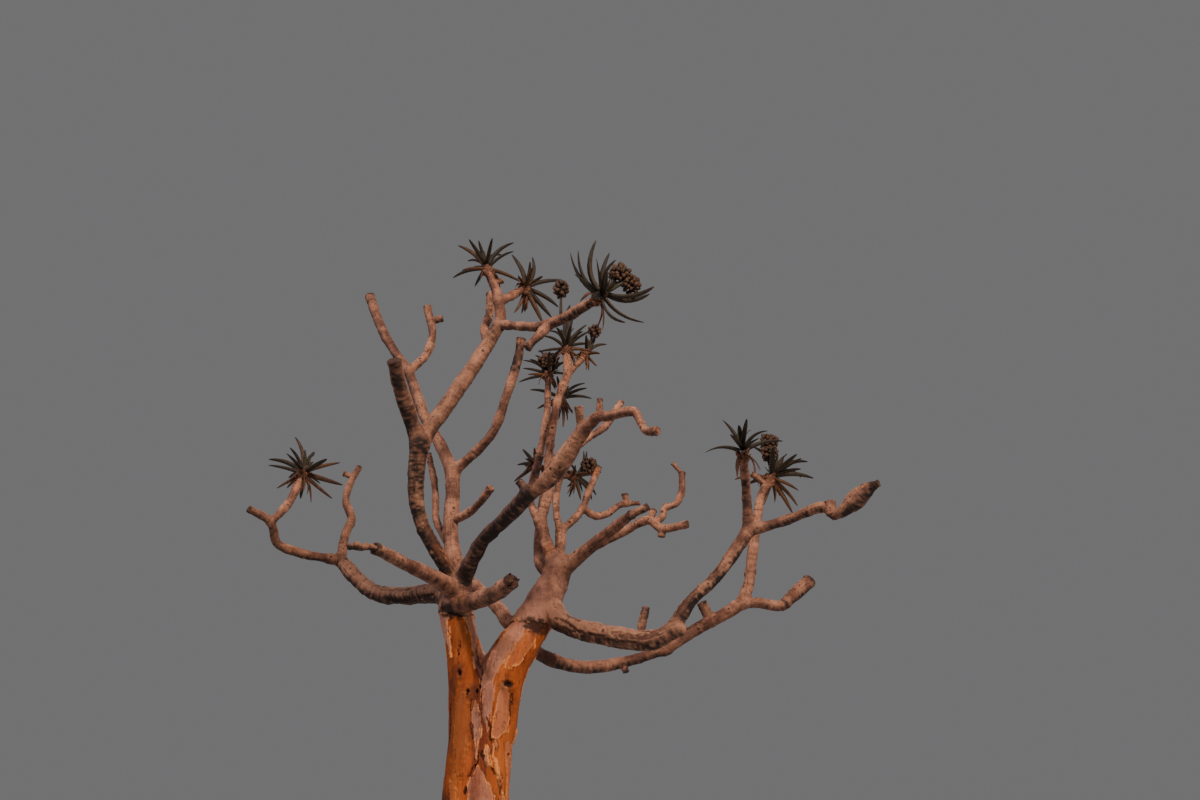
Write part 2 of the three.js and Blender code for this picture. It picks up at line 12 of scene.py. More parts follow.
import bpy
import numpy as np
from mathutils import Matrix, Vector

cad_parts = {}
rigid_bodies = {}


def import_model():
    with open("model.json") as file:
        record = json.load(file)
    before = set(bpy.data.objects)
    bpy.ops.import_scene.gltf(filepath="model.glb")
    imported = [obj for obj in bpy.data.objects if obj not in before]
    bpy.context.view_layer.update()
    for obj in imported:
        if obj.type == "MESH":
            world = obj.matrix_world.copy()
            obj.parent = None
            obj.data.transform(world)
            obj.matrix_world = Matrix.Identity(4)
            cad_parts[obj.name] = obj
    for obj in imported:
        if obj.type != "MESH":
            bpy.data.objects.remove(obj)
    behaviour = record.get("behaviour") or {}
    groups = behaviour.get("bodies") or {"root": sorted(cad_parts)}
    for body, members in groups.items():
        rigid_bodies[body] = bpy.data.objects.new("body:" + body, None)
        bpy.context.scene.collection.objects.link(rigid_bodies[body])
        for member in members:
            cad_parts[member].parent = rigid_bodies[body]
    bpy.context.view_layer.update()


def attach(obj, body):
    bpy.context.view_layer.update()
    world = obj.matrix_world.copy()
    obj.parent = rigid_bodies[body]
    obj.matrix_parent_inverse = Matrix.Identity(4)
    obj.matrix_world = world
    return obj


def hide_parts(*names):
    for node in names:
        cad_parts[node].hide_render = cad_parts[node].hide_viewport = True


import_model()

MM = 0.001

# The camera, in metres and degrees: it stands in front and looks up
CAMERA = dict(place=(0.785, -7.8, 1.1), pitch=21.42, yaw=-0.05, lens=35.0, sensor=36.0)

# The limbs. A stub is a dead end beside the limb as (right, back, up, girth); a fifth number tells at
# which share of the limb it springs, where that isn't the nearest point
LIMBS = {
    "left_stem": dict(
        route=[(-50, 0, 1750, 230), (-90, 0, 2280, 250), (-140, -30, 2480, 196), (-170, -50, 2620, 196),
               (-150, -100, 2790, 176)],
    ),
    "right_stem": dict(
        route=[(100, 0, 1750, 240), (170, 0, 2280, 296), (290, 30, 2470, 244), (415, 75, 2725, 232),
               (487, 92, 2880, 190), (520, 100, 2985, 156)],
    ),
    "left_sweep": dict(
        parent="left_stem", at=0.9, root=150,
        route=[(-320, 60, 2774, 130), (-580, 260, 2796, 110), (-830, 460, 2870, 104),
               (-1150, 720, 3170, 90)],
    ),
    "sweep_spur": dict(
        parent="left_sweep", at=0.98, root=74,
        route=[(-1130, 780, 3380, 66), (-1100, 810, 3500, 60), (-1160, 830, 3650, 56),
               (-1140, 860, 3810, 50), (-1090, 880, 3940, 46)],
        stubs=[(-1192, 860, 3880, 38)],
    ),
    "left_reach": dict(
        parent="left_sweep", at=0.98, root=72,
        route=[(-1380, 490, 3158, 66), (-1520, 390, 3199, 64), (-1566, 290, 3336, 60),
               (-1690, 180, 3398, 52)],
    ),
    "reach_arm": dict(
        parent="left_reach", at=0.79, root=54,
        route=[(-1520, 290, 3380, 56), (-1450, 320, 3500, 62), (-1400, 380, 3690, 68)],
    ),
    "front_arm": dict(
        parent="left_stem", at=0.96, root=124,
        route=[(-290, -390, 2786, 98), (-400, -610, 2803, 80), (-560, -910, 2836, 72)],
        stubs=[(-680, -1070, 2816, 36)],
    ),
    "broken_arm": dict(
        parent="left_stem", at=0.88, root=130,
        route=[(40, -360, 2650, 110), (150, -520, 2660, 106), (240, -660, 2690, 94)],
    ),
    "tall_bough": dict(
        parent="left_stem", at=0.98, root=110,
        route=[(-252, -180, 2930, 92), (-398, -260, 3180, 88), (-442, -310, 3380, 98),
               (-420, -390, 3710, 122)],
    ),
    "tall_stub": dict(
        parent="tall_bough", at=0.97, root=104,
        route=[(-460, -430, 3790, 102), (-540, -640, 4020, 98), (-560, -750, 4130, 88)],
    ),
    "tall_arm": dict(
        parent="tall_bough", at=0.97, root=112,
        route=[(-360, -360, 3810, 110), (-180, -290, 4150, 106), (-10, -210, 4500, 96),
               (70, -160, 4720, 86), (40, -140, 4930, 74), (-30, -120, 5120, 58)],
        stubs=[(70, -130, 5050, 42)],
    ),
    "crown_side": dict(
        parent="tall_arm", at=0.83, root=66,
        route=[(160, 0, 5010, 66), (210, 70, 5080, 60)],
    ),
    "crown_rear": dict(
        parent="tall_arm", at=0.6, root=76,
        route=[(-60, 40, 4740, 66), (-40, 160, 4940, 64), (-50, 250, 5120, 60)],
    ),
    "crown_arm": dict(
        parent="tall_arm", at=0.71, root=70,
        route=[(240, -310, 4598, 58), (360, -420, 4545, 68), (510, -550, 4530, 76),
               (660, -690, 4550, 70), (760, -760, 4580, 60)],
        stubs=[(300, -520, 4345, 62, 0.56)],
    ),
    "cross_bough": dict(
        parent="right_stem", at=0.74, root=116,
        route=[(190, 160, 2590, 104), (90, 260, 2710, 86), (-50, 360, 2850, 90), (-160, 420, 2950, 102),
               (-270, 460, 3110, 112)],
    ),
    "rear_bough": dict(
        parent="cross_bough", at=0.98, root=112,
        route=[(-300, 480, 3330, 114), (-300, 520, 3620, 110), (-310, 520, 3810, 118)],
    ),
    "rear_left": dict(
        parent="rear_bough", at=0.97, root=96,
        route=[(-430, 580, 4040, 88), (-560, 650, 4270, 88), (-730, 720, 4700, 82)],
    ),
    "rear_left_tip": dict(
        parent="rear_left", at=0.98, root=72,
        route=[(-910, 810, 4970, 78), (-1020, 910, 5190, 76), (-1150, 1070, 5510, 78)],
    ),
    "rear_left_twig": dict(
        parent="rear_left", at=0.98, root=68,
        route=[(-610, 810, 4860, 70), (-580, 900, 5080, 66), (-650, 1010, 5380, 68)],
        stubs=[(-520, 960, 5260, 52)],
    ),
    "rear_right": dict(
        parent="rear_bough", at=0.97, root=84,
        route=[(-170, 440, 3880, 76), (0, 340, 4040, 70), (100, 290, 4330, 68), (170, 290, 4600, 66),
               (190, 290, 4760, 64)],
    ),
    "rear_spur": dict(
        parent="rear_bough", at=0.42, root=60,
        route=[(-150, 360, 3430, 54), (-70, 260, 3470, 58), (10, 160, 3540, 54)],
    ),
    "rear_twig": dict(
        parent="rear_bough", at=0.12, root=62,
        route=[(-420, 610, 3430, 56), (-460, 690, 3720, 52), (-530, 750, 4000, 38)],
    ),
    "dark_bough": dict(
        parent="left_stem", at=0.98, root=116,
        route=[(20, -360, 3020, 92), (200, -580, 3130, 96), (350, -790, 3230, 102)],
        stubs=[(286, -780, 3300, 54)],
    ),
    "elbow_bough": dict(
        parent="dark_bough", at=0.98, root=84,
        route=[(440, -860, 3260, 88), (510, -920, 3320, 120), (590, -1000, 3410, 102),
               (680, -1090, 3520, 86)],
        stubs=[(660, -1140, 3660, 48)],
    ),
    "hooked_arm": dict(
        parent="elbow_bough", at=0.98, root=76,
        route=[(780, -1200, 3580, 72), (830, -1240, 3570, 56), (990, -1360, 3550, 58),
               (1030, -1400, 3470, 44), (1060, -1450, 3400, 42), (1110, -1500, 3380, 52)],
        stubs=[(790, -1200, 3690, 36)],
    ),
    "elbow_twig": dict(
        parent="elbow_bough", at=0.66, root=56,
        route=[(690, -860, 3550, 50), (820, -780, 3670, 48), (930, -720, 3860, 42)],
    ),
    "right_bough": dict(
        parent="right_stem", at=0.8, root=160,
        route=[(530, -60, 2560, 134), (840, -360, 2415, 126), (1110, -600, 2345, 118),
               (1260, -680, 2400, 100)],
        stubs=[(1080, -530, 2550, 40)],
    ),
    "right_riser": dict(
        parent="right_bough", at=0.97, root=92,
        route=[(1355, -690, 2575, 72), (1500, -680, 2705, 74), (1740, -610, 3040, 86)],
    ),
    "right_post": dict(
        parent="right_riser", at=0.98, root=66,
        route=[(1722, -680, 3270, 60), (1700, -770, 3460, 56)],
    ),
    "right_tip": dict(
        parent="right_riser", at=0.98, root=68,
        route=[(1950, -700, 3070, 64), (2180, -830, 3120, 62), (2230, -860, 3060, 46),
               (2270, -900, 3070, 64), (2350, -940, 3132, 122), (2420, -990, 3188, 92),
               (2470, -1040, 3210, 40)],
    ),
    "low_bough": dict(
        parent="right_stem", at=0.61, root=116,
        route=[(350, 200, 2410, 98), (600, 340, 2330, 86), (850, 460, 2350, 82), (1270, 470, 2460, 70)],
        stubs=[(970, 460, 2310, 46)],
    ),
    "low_rise": dict(
        parent="low_bough", at=0.98, root=70,
        route=[(1430, 420, 2570, 92), (1750, 360, 2740, 84), (1810, 360, 2780, 84)],
        stubs=[(1515, 390, 2765, 68)],
    ),
    "low_post": dict(
        parent="low_rise", at=0.97, root=84,
        route=[(1858, 390, 2950, 74), (1880, 390, 3100, 72), (1936, 400, 3410, 60),
               (1980, 430, 3590, 60), (2045, 460, 3690, 64)],
        stubs=[(1920, 430, 3740, 42)],
    ),
    "low_tip": dict(
        parent="low_rise", at=0.97, root=78,
        route=[(1920, 420, 2780, 76), (2080, 470, 2770, 68), (2160, 520, 2838, 94),
               (2310, 600, 2970, 98)],
    ),
    "fan_bough": dict(
        parent="right_stem", at=0.92, root=124,
        route=[(610, -30, 2970, 100), (780, -210, 3070, 84), (990, -440, 3180, 62)],
        stubs=[(1100, -490, 3220, 44)],
    ),
    "fan_lower": dict(
        parent="fan_bough", at=0.44, root=64,
        route=[(930, -130, 3140, 54), (1120, -210, 3210, 58), (1200, -260, 3140, 54),
               (1360, -360, 3140, 46)],
        stubs=[(1150, -170, 3280, 42), (1200, -260, 3090, 46)],
    ),
    "fan_hook": dict(
        parent="fan_lower", at=0.66, root=50,
        route=[(1212, -215, 3235, 46), (1228, -210, 3290, 42), (1305, -205, 3328, 40),
               (1344, -200, 3410, 48), (1354, -180, 3548, 50)],
        stubs=[(1292, -180, 3620, 28)],
    ),
    "mid_bough": dict(
        parent="right_stem", at=0.97, root=96,
        route=[(510, 310, 3180, 74), (510, 360, 3300, 70)],
    ),
    "mid_post": dict(
        parent="mid_bough", at=0.96, root=56,
        route=[(470, 470, 3470, 52), (480, 570, 3700, 48), (510, 620, 3780, 44), (570, 680, 3800, 42)],
    ),
    "mid_arm": dict(
        parent="mid_bough", at=0.96, root=62,
        route=[(650, 420, 3450, 54), (720, 490, 3650, 50), (780, 560, 3830, 48)],
    ),
    "mid_reach": dict(
        parent="mid_arm", at=0.4, root=52,
        route=[(760, 470, 3430, 50), (840, 520, 3460, 46), (950, 580, 3550, 54), (1080, 680, 3590, 36)],
        stubs=[(980, 600, 3630, 42)],
    ),
    "near_shaft": dict(
        parent="right_stem", at=0.96, root=118,
        route=[(430, 210, 3120, 92), (360, 290, 3350, 88)],
    ),
    "left_shaft": dict(
        parent="near_shaft", at=0.97, root=74,
        route=[(280, 420, 3540, 66), (300, 550, 3760, 58), (370, 810, 4300, 54), (370, 1000, 4740, 54)],
    ),
    "right_shaft": dict(
        parent="near_shaft", at=0.97, root=74,
        route=[(420, 310, 3580, 68), (412, 360, 3820, 62), (464, 490, 4340, 56), (540, 560, 4610, 70),
               (530, 580, 4780, 58)],
    ),
    "rear_shaft": dict(
        parent="right_stem", at=0.92, root=120,
        route=[(370, 340, 3060, 88), (350, 550, 3420, 62), (390, 810, 3880, 62), (430, 1090, 4490, 58),
               (460, 1130, 4580, 58)],
    ),
}

# Each rosette: the limb it closes, or the point of a limb and the twig that leads to it; how far its
# leaves reach; how much they bow; and the tips that the front view shows, as (right, up) from its heart
ROSETTES = {
    "reach_rosette": dict(on="reach_arm", reach=300, bow=0.05, seed=11, tips=[
        (-105, 250), (-135, 165), (-285, 70), (-280, 25), (-120, -75), (-200, -155), (-125, -155), (0, -175),
        (220, -235), (290, -130), (255, 45), (155, 75), (55, 130)]),
    "crown_rosette": dict(on="tall_arm", reach=275, bow=0.08, seed=23, tips=[
        (-215, 150), (-60, 195), (210, 175), (210, 100), (125, 65), (-175, -60), (-240, -125), (265, -155),
        (-135, 15)]),
    "side_rosette": dict(on="crown_side", reach=290, bow=0.10, seed=37, tips=[
        (-135, 265), (10, 205), (25, 245), (110, 75), (270, 40), (235, -190), (185, -275), (120, -325),
        (-45, -240), (-105, -235), (-95, -115), (-85, 60)]),
    "fruiting_rosette": dict(on="crown_arm", reach=355, bow=-0.14, seed=41, tips=[
        (-240, 310), (-185, 325), (-80, 325), (-60, 405), (30, 305), (330, 50), (260, -220), (135, -220),
        (300, -5), (75, 250)]),
    "top_rosette": dict(on="right_shaft", reach=255, bow=0.08, seed=53, tips=[
        (-225, -75), (-190, 60), (-145, 105), (210, -75), (195, -10), (135, 105), (70, 140), (-80, 140),
        (-115, -120), (140, -145), (30, 340), (80, 345), (165, 165), (195, 110), (20, 205)]),
    "twig_rosette": dict(on="right_shaft", at=0.86, by=(660, 650, 4780, 48), reach=185, bow=0.08,
                         seed=61, tips=[
        (150, 45), (95, -35), (70, -145), (-25, -120), (-95, -135), (-15, 120), (55, 150)]),
    "left_shaft_rosette": dict(on="left_shaft", reach=245, bow=0.08, seed=71, tips=[
        (-215, 90), (-215, 20), (-245, -105), (-170, -35), (-115, 135), (-160, 100), (-85, 190), (140, 80),
        (170, -45), (95, 125)]),
    "rear_shaft_rosette": dict(on="rear_shaft", reach=265, bow=0.06, seed=83, tips=[
        (190, 105), (205, 60), (245, -35), (90, -150), (50, -165), (5, -290), (-275, 45), (-210, -125),
        (-45, -210)]),
    "mid_rosette": dict(on="mid_post", reach=225, bow=0.08, seed=97, tips=[
        (35, 200), (60, 200), (-70, 95), (-115, 40), (-90, -95), (15, -200), (135, -165), (100, -200),
        (-150, -25), (175, 25)]),
    "dark_rosette": dict(on="left_shaft", at=0.36, by=(300, 690, 3880, 44), reach=190, bow=0.08,
                         seed=101, tips=[
        (-120, -115), (-165, -150), (-145, -15), (-105, 115), (30, 165), (125, -55)]),
    "post_rosette": dict(on="right_post", reach=275, bow=0.08, seed=113, tips=[
        (-120, 165), (-15, 130), (60, 90), (175, 90), (265, 20), (-240, -60), (-35, -205), (115, -175)]),
    "low_rosette": dict(on="low_post", reach=310, bow=0.08, seed=127, tips=[
        (105, 150), (215, 115), (260, 85), (205, 30), (295, -45), (175, -140), (200, -40), (160, -260),
        (120, -315), (-135, -325), (-115, -110), (-300, -55), (-160, 210)]),
}

# Blunt knees where a limb turned off beside its own dead end, in the same form
KNEES = {
    "right_tip": [(2215, -850, 3140, 60, 0.62)],
    "fan_hook": [(1236, -205, 3318, 36)],
    "low_post": [(1836, 400, 2992, 48), (1892, 385, 3000, 42)],
    "dark_bough": [(425, -965, 3410, 46)],
}

# Spent flower heads: where each springs from, and its lobes as (right, back, up, half width, half height)
FLOWER_HEADS = {
    "fruiting_rosette": [(925, -785, 4760, 62, 66), (1000, -775, 4690, 55, 58)],
    "left_shaft_rosette": [(372, 1000, 4885, 78, 80)],
    "mid_rosette": [(710, 730, 3900, 55, 68)],
    "low_rosette": [(2060, 460, 3915, 52, 55), (2060, 460, 4000, 56, 60)],
    "twig_rosette": [(750, 650, 5000, 36, 42)],
    "bud_cluster": [(522, -560, 4765, 40, 58)],
}
# Where the lone flower head stands: a share of the way along its limb
LONE_HEAD = dict(on="crown_arm", at=0.665)

# A rosette's stem past its limb's end, in metres and shares, and the lift of its axis
ROSETTE_STEM = 0.09
STEM_TAPER = 0.72
HEART_LIFT = 0.15
GOLDEN_TURN = 2.39996

# Sizes of the trunk, in millimetres as in the table above
SHAFT_HALF_WIDTH = 196
SHAFT_HALF_DEPTH = 176
SHAFT_TAPER = dict(gain=50, fade=1100)
FOOT_FLARE = dict(gain=185, fade=170)
FOOT_LOBES = dict(count=5, gain=0.07, fade=260, turn=0.7)
FORK_NARROWING = dict(start=1500, share=0.45)
TRUNK_LEAN = dict(start=1400, reach=46, rise=760, power=1.3)
TRUNK_TOP = 2270

# How wide the trunk's upper rim is rounded off, in metres
TRUNK_RIM = 0.01

# How finely skins are made, in metres
SKIN_STEP = 0.0065
STEM_STEP = 0.0044
TRUNK_FRONT = 168
TRUNK_BACK = 108
TRUNK_LEVELS = dict(coarse=0.0092, fine=0.0042, above=1.3, past=0.02)
SPAN_STEPS = 40
GIRTH_EASE = 0.06
STUB_TAPER = 1.1
# The fewest points in a ring
LEAST_AROUND = 20
# A limb that springs from beyond this share of its parent carries it on, as a fork
FORK_AT = 0.9

# The stems, which the trunk's skin gives way to between these levels, by diving this deep under them
STEMS = ("left_stem", "right_stem")
SEAM = dict(low=1.96, middle=2.0, high=2.04, dive=0.012)
STEM_START = 0.14

# A fork's fillet, as a share of the thinner limb's radius over its first steps, how soon a buried skin
# lets go of it, and how far from the fork it fades
FILLET = 0.6
ROOT_STEPS = 12
TRUNK_FILLET = 0.045
LET_GO = 0.22
FORK_REACH = 1.3
FORK_FADE = 1.6

# How many points are measured from a line at a time, and how often a skin is moved to its union
CHUNK = 8000
SETTLE_ROUNDS = 3

# A whole turn, and farther than anything here, in metres or in cells
TURN = 2 * math.pi
FAR = 99.0

# What scatters a whole number's bits: a factor for each axis and for the seed, then shifts and factors
AXIS_FACTORS = (73856093, 19349663, 83492791)
SEED_FACTOR = 2654435761
SCATTER = ((15, 0x2C1B3C6D), (12, 0x297A2D39), (15, 1))
KEPT_BITS = 0xFFFF


def smoothstep(low, high, value):
    """Runs from 0 at low to 1 at high along 3t^2 - 2t^3."""
    share = np.clip((value - low) / (high - low), 0, 1)
    return share * share * (3 - 2 * share)


def bell(value, width):
    """Falls from 1 at zero along exp(-(value / width)^2)."""
    return np.exp(-((value / width) ** 2))


def unit(vectors):
    """Vectors divided by their own lengths."""
    return vectors / np.maximum(np.linalg.norm(vectors, axis=-1, keepdims=True), 1e-9)


def lattice(cells, seed):
    """A number between -1 and 1 for each whole-numbered cell, from its bits mixed with the seed."""
    cells = cells.astype(np.int64).astype(np.uint64)
    mixed = np.uint64(seed * SEED_FACTOR % 2**32)
    for axis, factor in enumerate(AXIS_FACTORS):
        mixed = mixed ^ cells[:, axis] * np.uint64(factor)
    for shift, factor in SCATTER:
        mixed ^= mixed >> np.uint64(shift)
        mixed *= np.uint64(factor)
    return (mixed & np.uint64(KEPT_BITS)).astype(float) * 2 / KEPT_BITS - 1


def noise(points, cell, seed):
    """Value noise: the lattice numbers at a cell's eight corners, mixed by 3t^2 - 2t^3 along each axis.
    cell is one size, or one for each axis."""
    place = points / np.asarray(cell, float)
    low = np.floor(place)
    part = place - low
    fade = part * part * (3 - 2 * part)
    total = np.zeros(len(points))
    for corner in np.ndindex(2, 2, 2):
        step = np.array(corner)
        total += np.where(step, fade, 1 - fade).prod(axis=1) * lattice(low + step, seed)
    return total


def fractal(points, cell, seed, octaves=3):
    """Noise added to itself at halved cells and halved heights."""
    cell = np.asarray(cell, float)
    layers = [noise(points, cell / 2**i, seed + i) / 2**i for i in range(octaves)]
    return sum(layers) / (2 - 2 ** (1 - octaves))


class Layer:
    """A layer of noise: its cell in metres, its seed, how high it stands and how many octaves it has."""

    def __init__(self, cell, seed, height=1.0, octaves=1):
        self.cell = cell
        self.seed = seed
        self.height = height
        self.octaves = octaves

    def over(self, points, other=0):
        """The layer's values at points. Another number gives another layer of the same kind."""
        return self.height * fractal(points, self.cell, self.seed + other, self.octaves)


def shards(points, cell, seed, jitter=0.45):
    """Breaks space into ragged cells, each the room nearest to one jittered seed, and gives every point
    the three numbers of its own cell."""
    place = points / np.asarray(cell, float)
    low = np.floor(place)
    best = np.full(len(points), FAR)
    owner = low.copy()
    for corner in np.ndindex(3, 3, 3):
        home = low + np.array(corner) - 1
        moved = np.stack([lattice(home, seed + axis) for axis in range(3)], axis=1)
        apart = ((place - home - 0.5 - jitter * moved) ** 2).sum(axis=1)
        nearer = apart < best
        best[nearer] = apart[nearer]
        owner[nearer] = home[nearer]
    return np.stack([lattice(owner, seed + 7 + axis) for axis in range(3)], axis=1)


def spline(points):
    """A centripetal Catmull-Rom curve: each span is the cubic through its two way-points whose end
    slopes come from their neighbours, with the parameter running by the square roots of the chords."""
    points = np.asarray(points, float)
    row = np.vstack([2 * points[0] - points[1], points, 2 * points[-1] - points[-2]])
    chord = np.sqrt(np.linalg.norm(np.diff(row, axis=0), axis=1))
    share = np.linspace(0, 1, SPAN_STEPS, endpoint=False)[:, None]
    spans = []
    for i in range(len(points) - 1):
        before, start, stop, after = row[i:i + 4]
        a, b, c = chord[i:i + 3]
        leave = ((start - before) / a - (stop - before) / (a + b) + (stop - start) / b) * b
        arrive = ((stop - start) / b - (after - start) / (b + c) + (after - stop) / c) * b
        bend = 3 * (stop - start) - 2 * leave - arrive
        twist = 2 * (start - stop) + leave + arrive
        spans.append(start + leave * share + bend * share**2 + twist * share**3)
    return np.vstack(spans + [points[-1:]])


def walked(path):
    """Distance along the path to each of its points."""
    return np.concatenate([[0], np.cumsum(np.linalg.norm(np.diff(path, axis=0), axis=1))])


def along(path, walk, places):
    """Points of the path at the given distances."""
    return np.stack([np.interp(places, walk, path[:, axis]) for axis in range(3)], axis=-1)


class Line:
    """A limb's middle line at even steps, with its radius, its tangent and two directions across it:
    side is square to the tangent and to the direction that the line turns to least."""

    def __init__(self, points, girths, start=0, step=SKIN_STEP):
        curve = spline(np.asarray(points, float) * MM)
        walk = walked(curve)
        steps = max(6, round((walk[-1] - start) / step))
        self.walk = np.linspace(start, walk[-1], steps + 1)
        self.path = along(curve, walk, self.walk)
        half = GIRTH_EASE / 2
        eased = [np.interp(self.walk + shift, walk[::SPAN_STEPS], girths) for shift in (-half, 0, half)]
        self.radius = np.mean(eased, axis=0) * MM / 2
        self.length = walk[-1]
        self.turn()

    def turn(self):
        """Finds the line's tangents and the directions across it."""
        self.step = self.walk[1] - self.walk[0]
        self.tangent = unit(np.gradient(self.path, axis=0))
        flat = np.linalg.svd(self.tangent, full_matrices=False)[2][-1]
        self.side = unit(np.cross(self.tangent, flat))
        self.through = np.cross(self.tangent, self.side)
        self.slope = np.gradient(self.radius, self.step)

    def lengthen(self, axis, length, taper):
        """Runs the line straight on along an axis, thinning evenly to a share of its last radius."""
        ahead = np.arange(1, round(length / self.step) + 1) * self.step
        self.path = np.vstack([self.path, self.path[-1] + ahead[:, None] * axis])
        self.walk = np.append(self.walk, self.walk[-1] + ahead)
        self.radius = np.append(self.radius, self.radius[-1] * (1 + (taper - 1) * ahead / length))
        self.turn()

    def at(self, share):
        """The point at a share of the limb's own length, in millimetres."""
        return along(self.path, self.walk, np.array([share * self.length]))[0] / MM

    def gap(self, points):
        """How far points stand off the limb's skin, negative inside it, and the way out from its line."""
        gaps = np.empty(len(points))
        ways = np.empty((len(points), 3))
        for first in range(0, len(points), CHUNK):
            part = points[first:first + CHUNK]
            square = (self.path**2).sum(axis=1) - 2 * part @ self.path.T
            near = square.argmin(axis=1)
            offset = part - self.path[near]
            slide = np.clip((offset * self.tangent[near]).sum(axis=1), -self.step / 2, self.step / 2)
            slide[near == 0] = np.maximum(slide[near == 0], 0)
            slide[near == len(self.path) - 1] = np.minimum(slide[near == len(self.path) - 1], 0)
            offset -= slide[:, None] * self.tangent[near]
            reach = np.linalg.norm(offset, axis=1)
            gaps[first:first + CHUNK] = reach - self.radius[near] - self.slope[near] * slide
            ways[first:first + CHUNK] = offset / np.maximum(reach, 1e-6)[:, None]
        return gaps, ways


def crown_of(rosette, lines):
    """Where a rosette sits: its heart, its axis and its stem's girth, in metres. The axis is the
    bough's last tangent, or the direction of the twig that leads to it, lifted a little."""
    bough = lines[rosette["on"]]
    if "by" in rosette:
        end = np.array(rosette["by"][:3]) * MM
        axis = unit(end - bough.at(rosette["at"]) * MM)
        girth = rosette["by"][3] * MM
    else:
        end = bough.at(1) * MM
        last = np.searchsorted(bough.walk, bough.length - bough.step / 2)
        axis = bough.tangent[last]
        girth = 2 * bough.radius[last]
    axis = unit(axis + np.array([0, 0, HEART_LIFT]))
    return dict(end=end, axis=axis, girth=girth, heart=end + axis * ROSETTE_STEM)


def grow_lines():
    """Every limb's line, its stubs' lines and the rosettes' stems, in the tables' order, so that each
    finds the one it springs from."""
    lines, crowns = {}, {}
    for name, limb in LIMBS.items():
        points = [point[:3] for point in limb["route"]]
        girths = [point[3] for point in limb["route"]]
        if "parent" in limb:
            points.insert(0, lines[limb["parent"]].at(limb["at"]))
            girths.insert(0, limb["root"])
        stem = "parent" not in limb
        lines[name] = Line(points, girths, STEM_START if stem else 0, STEM_STEP if stem else SKIN_STEP)
        for i, stub in enumerate(limb.get("stubs", []) + KNEES.get(name, [])):
            gaps = np.linalg.norm(lines[name].path / MM - stub[:3], axis=1)
            foot = lines[name].at(stub[4]) if len(stub) > 4 else lines[name].path[gaps.argmin()] / MM
            lines[f"{name}_stub{i}"] = Line([foot, stub[:3]], [stub[3] * STUB_TAPER, stub[3]])
    for name, rosette in ROSETTES.items():
        crowns[name] = crown_of(rosette, lines)
        bearer = rosette["on"]
        if "by" in rosette:
            foot = lines[bearer].at(rosette["at"])
            bearer = f"{bearer}_{name}"
            lines[bearer] = Line([foot, rosette["by"][:3]], [rosette["by"][3]] * 2)
        lines[bearer].lengthen(crowns[name]["axis"], ROSETTE_STEM, STEM_TAPER)
    return lines, crowns


def limb_of(name):
    """The limb of the table that a stub, or a rosette's twig, belongs to."""
    while name not in LIMBS:
        name = name.rsplit("_", 1)[0]
    return name


def trunk_sizes(height):
    """The trunk's middle, half width and half depth at heights in millimetres: an oval that swells
    towards the foot by falling exponentials, leans by a power of the height and narrows at the fork."""
    taper = SHAFT_TAPER["gain"] * np.exp(-height / SHAFT_TAPER["fade"])
    flare = FOOT_FLARE["gain"] * np.exp(-height / FOOT_FLARE["fade"])
    climbed = np.maximum(0, height - TRUNK_LEAN["start"]) / TRUNK_LEAN["rise"]
    narrow = 1 - FORK_NARROWING["share"] * smoothstep(FORK_NARROWING["start"], TRUNK_TOP, height)
    middle = TRUNK_LEAN["reach"] * climbed ** TRUNK_LEAN["power"]
    return middle, SHAFT_HALF_WIDTH + taper + flare, narrow * (SHAFT_HALF_DEPTH + taper + flare)


class Shaft:
    """The trunk below its fork, as a skin that points can be measured from."""

    def gap(self, points):
        """How far points stand off the oval, along the line from its middle, and the way out."""
        height = points[:, 2] / MM
        middle, half_width, half_depth = trunk_sizes(height)
        across = points[:, 0] / MM - middle
        back = points[:, 1] / MM
        lobe = 1 + FOOT_LOBES["gain"] * np.exp(-height / FOOT_LOBES["fade"]) * np.cos(
            FOOT_LOBES["count"] * np.arctan2(back, across) + FOOT_LOBES["turn"])
        reach = np.hypot(across, back)
        share = np.maximum(np.hypot(across / (half_width * lobe), back / (half_depth * lobe)), 1e-6)
        way = unit(np.stack([across / half_width**2, back / half_depth**2, np.zeros(len(points))], axis=1))
        side = reach * (1 - 1 / share) * MM
        above = (height - TRUNK_TOP) * MM
        tilt = smoothstep(-TRUNK_RIM, TRUNK_RIM, above - side)[:, None]
        return np.maximum(side, above), unit(way * (1 - tilt) + np.array([0, 0, 1]) * tilt)


def swollen(skin, partners, points):
    """The gap from a smooth union of skins and the way out of it. Two skins a and b blend with a share h
    that runs from 0 to 1 across the fillet: h a + (1 - h) b - fillet h (1 - h). Away from their fork, b
    is pushed off by the fillet, so that limbs side by side keep apart."""
    gap, way = skin.gap(points)
    for partner, fillet, fork, reach in partners:
        other_gap, other_way = partner.gap(points)
        away = np.linalg.norm(points - fork, axis=1)
        other_gap = other_gap + fillet * smoothstep(reach, FORK_FADE * reach, away)
        share = np.clip(0.5 + 0.5 * (other_gap - gap) / fillet, 0, 1)
        gap = share * gap + (1 - share) * other_gap - fillet * share * (1 - share)
        way = share[:, None] * way + (1 - share)[:, None] * other_way
    return gap, unit(way)


def settle(points, line, buried_by, skin, partners):
    """Moves the skin round a line out to the smooth union of a skin and its partners, apart from what
    lies buried in other limbs. Returns the points, their ways out, how free of those limbs each point
    is, 0 to 1, and its room, the distance to the nearest of them."""
    start = line.gap(points)[0]
    room = np.ones(len(points))
    free = np.ones(len(points))
    for limb, fillet, _, _ in buried_by:
        other = limb.gap(points)[0]
        room = np.minimum(room, other)
        free = np.minimum(free, smoothstep(-LET_GO * fillet, 0, other))
    for _ in range(SETTLE_ROUNDS):
        gap, way = swollen(skin, partners, points)
        points = points + ((start - gap) * free)[:, None] * way
    return points, way, free, room


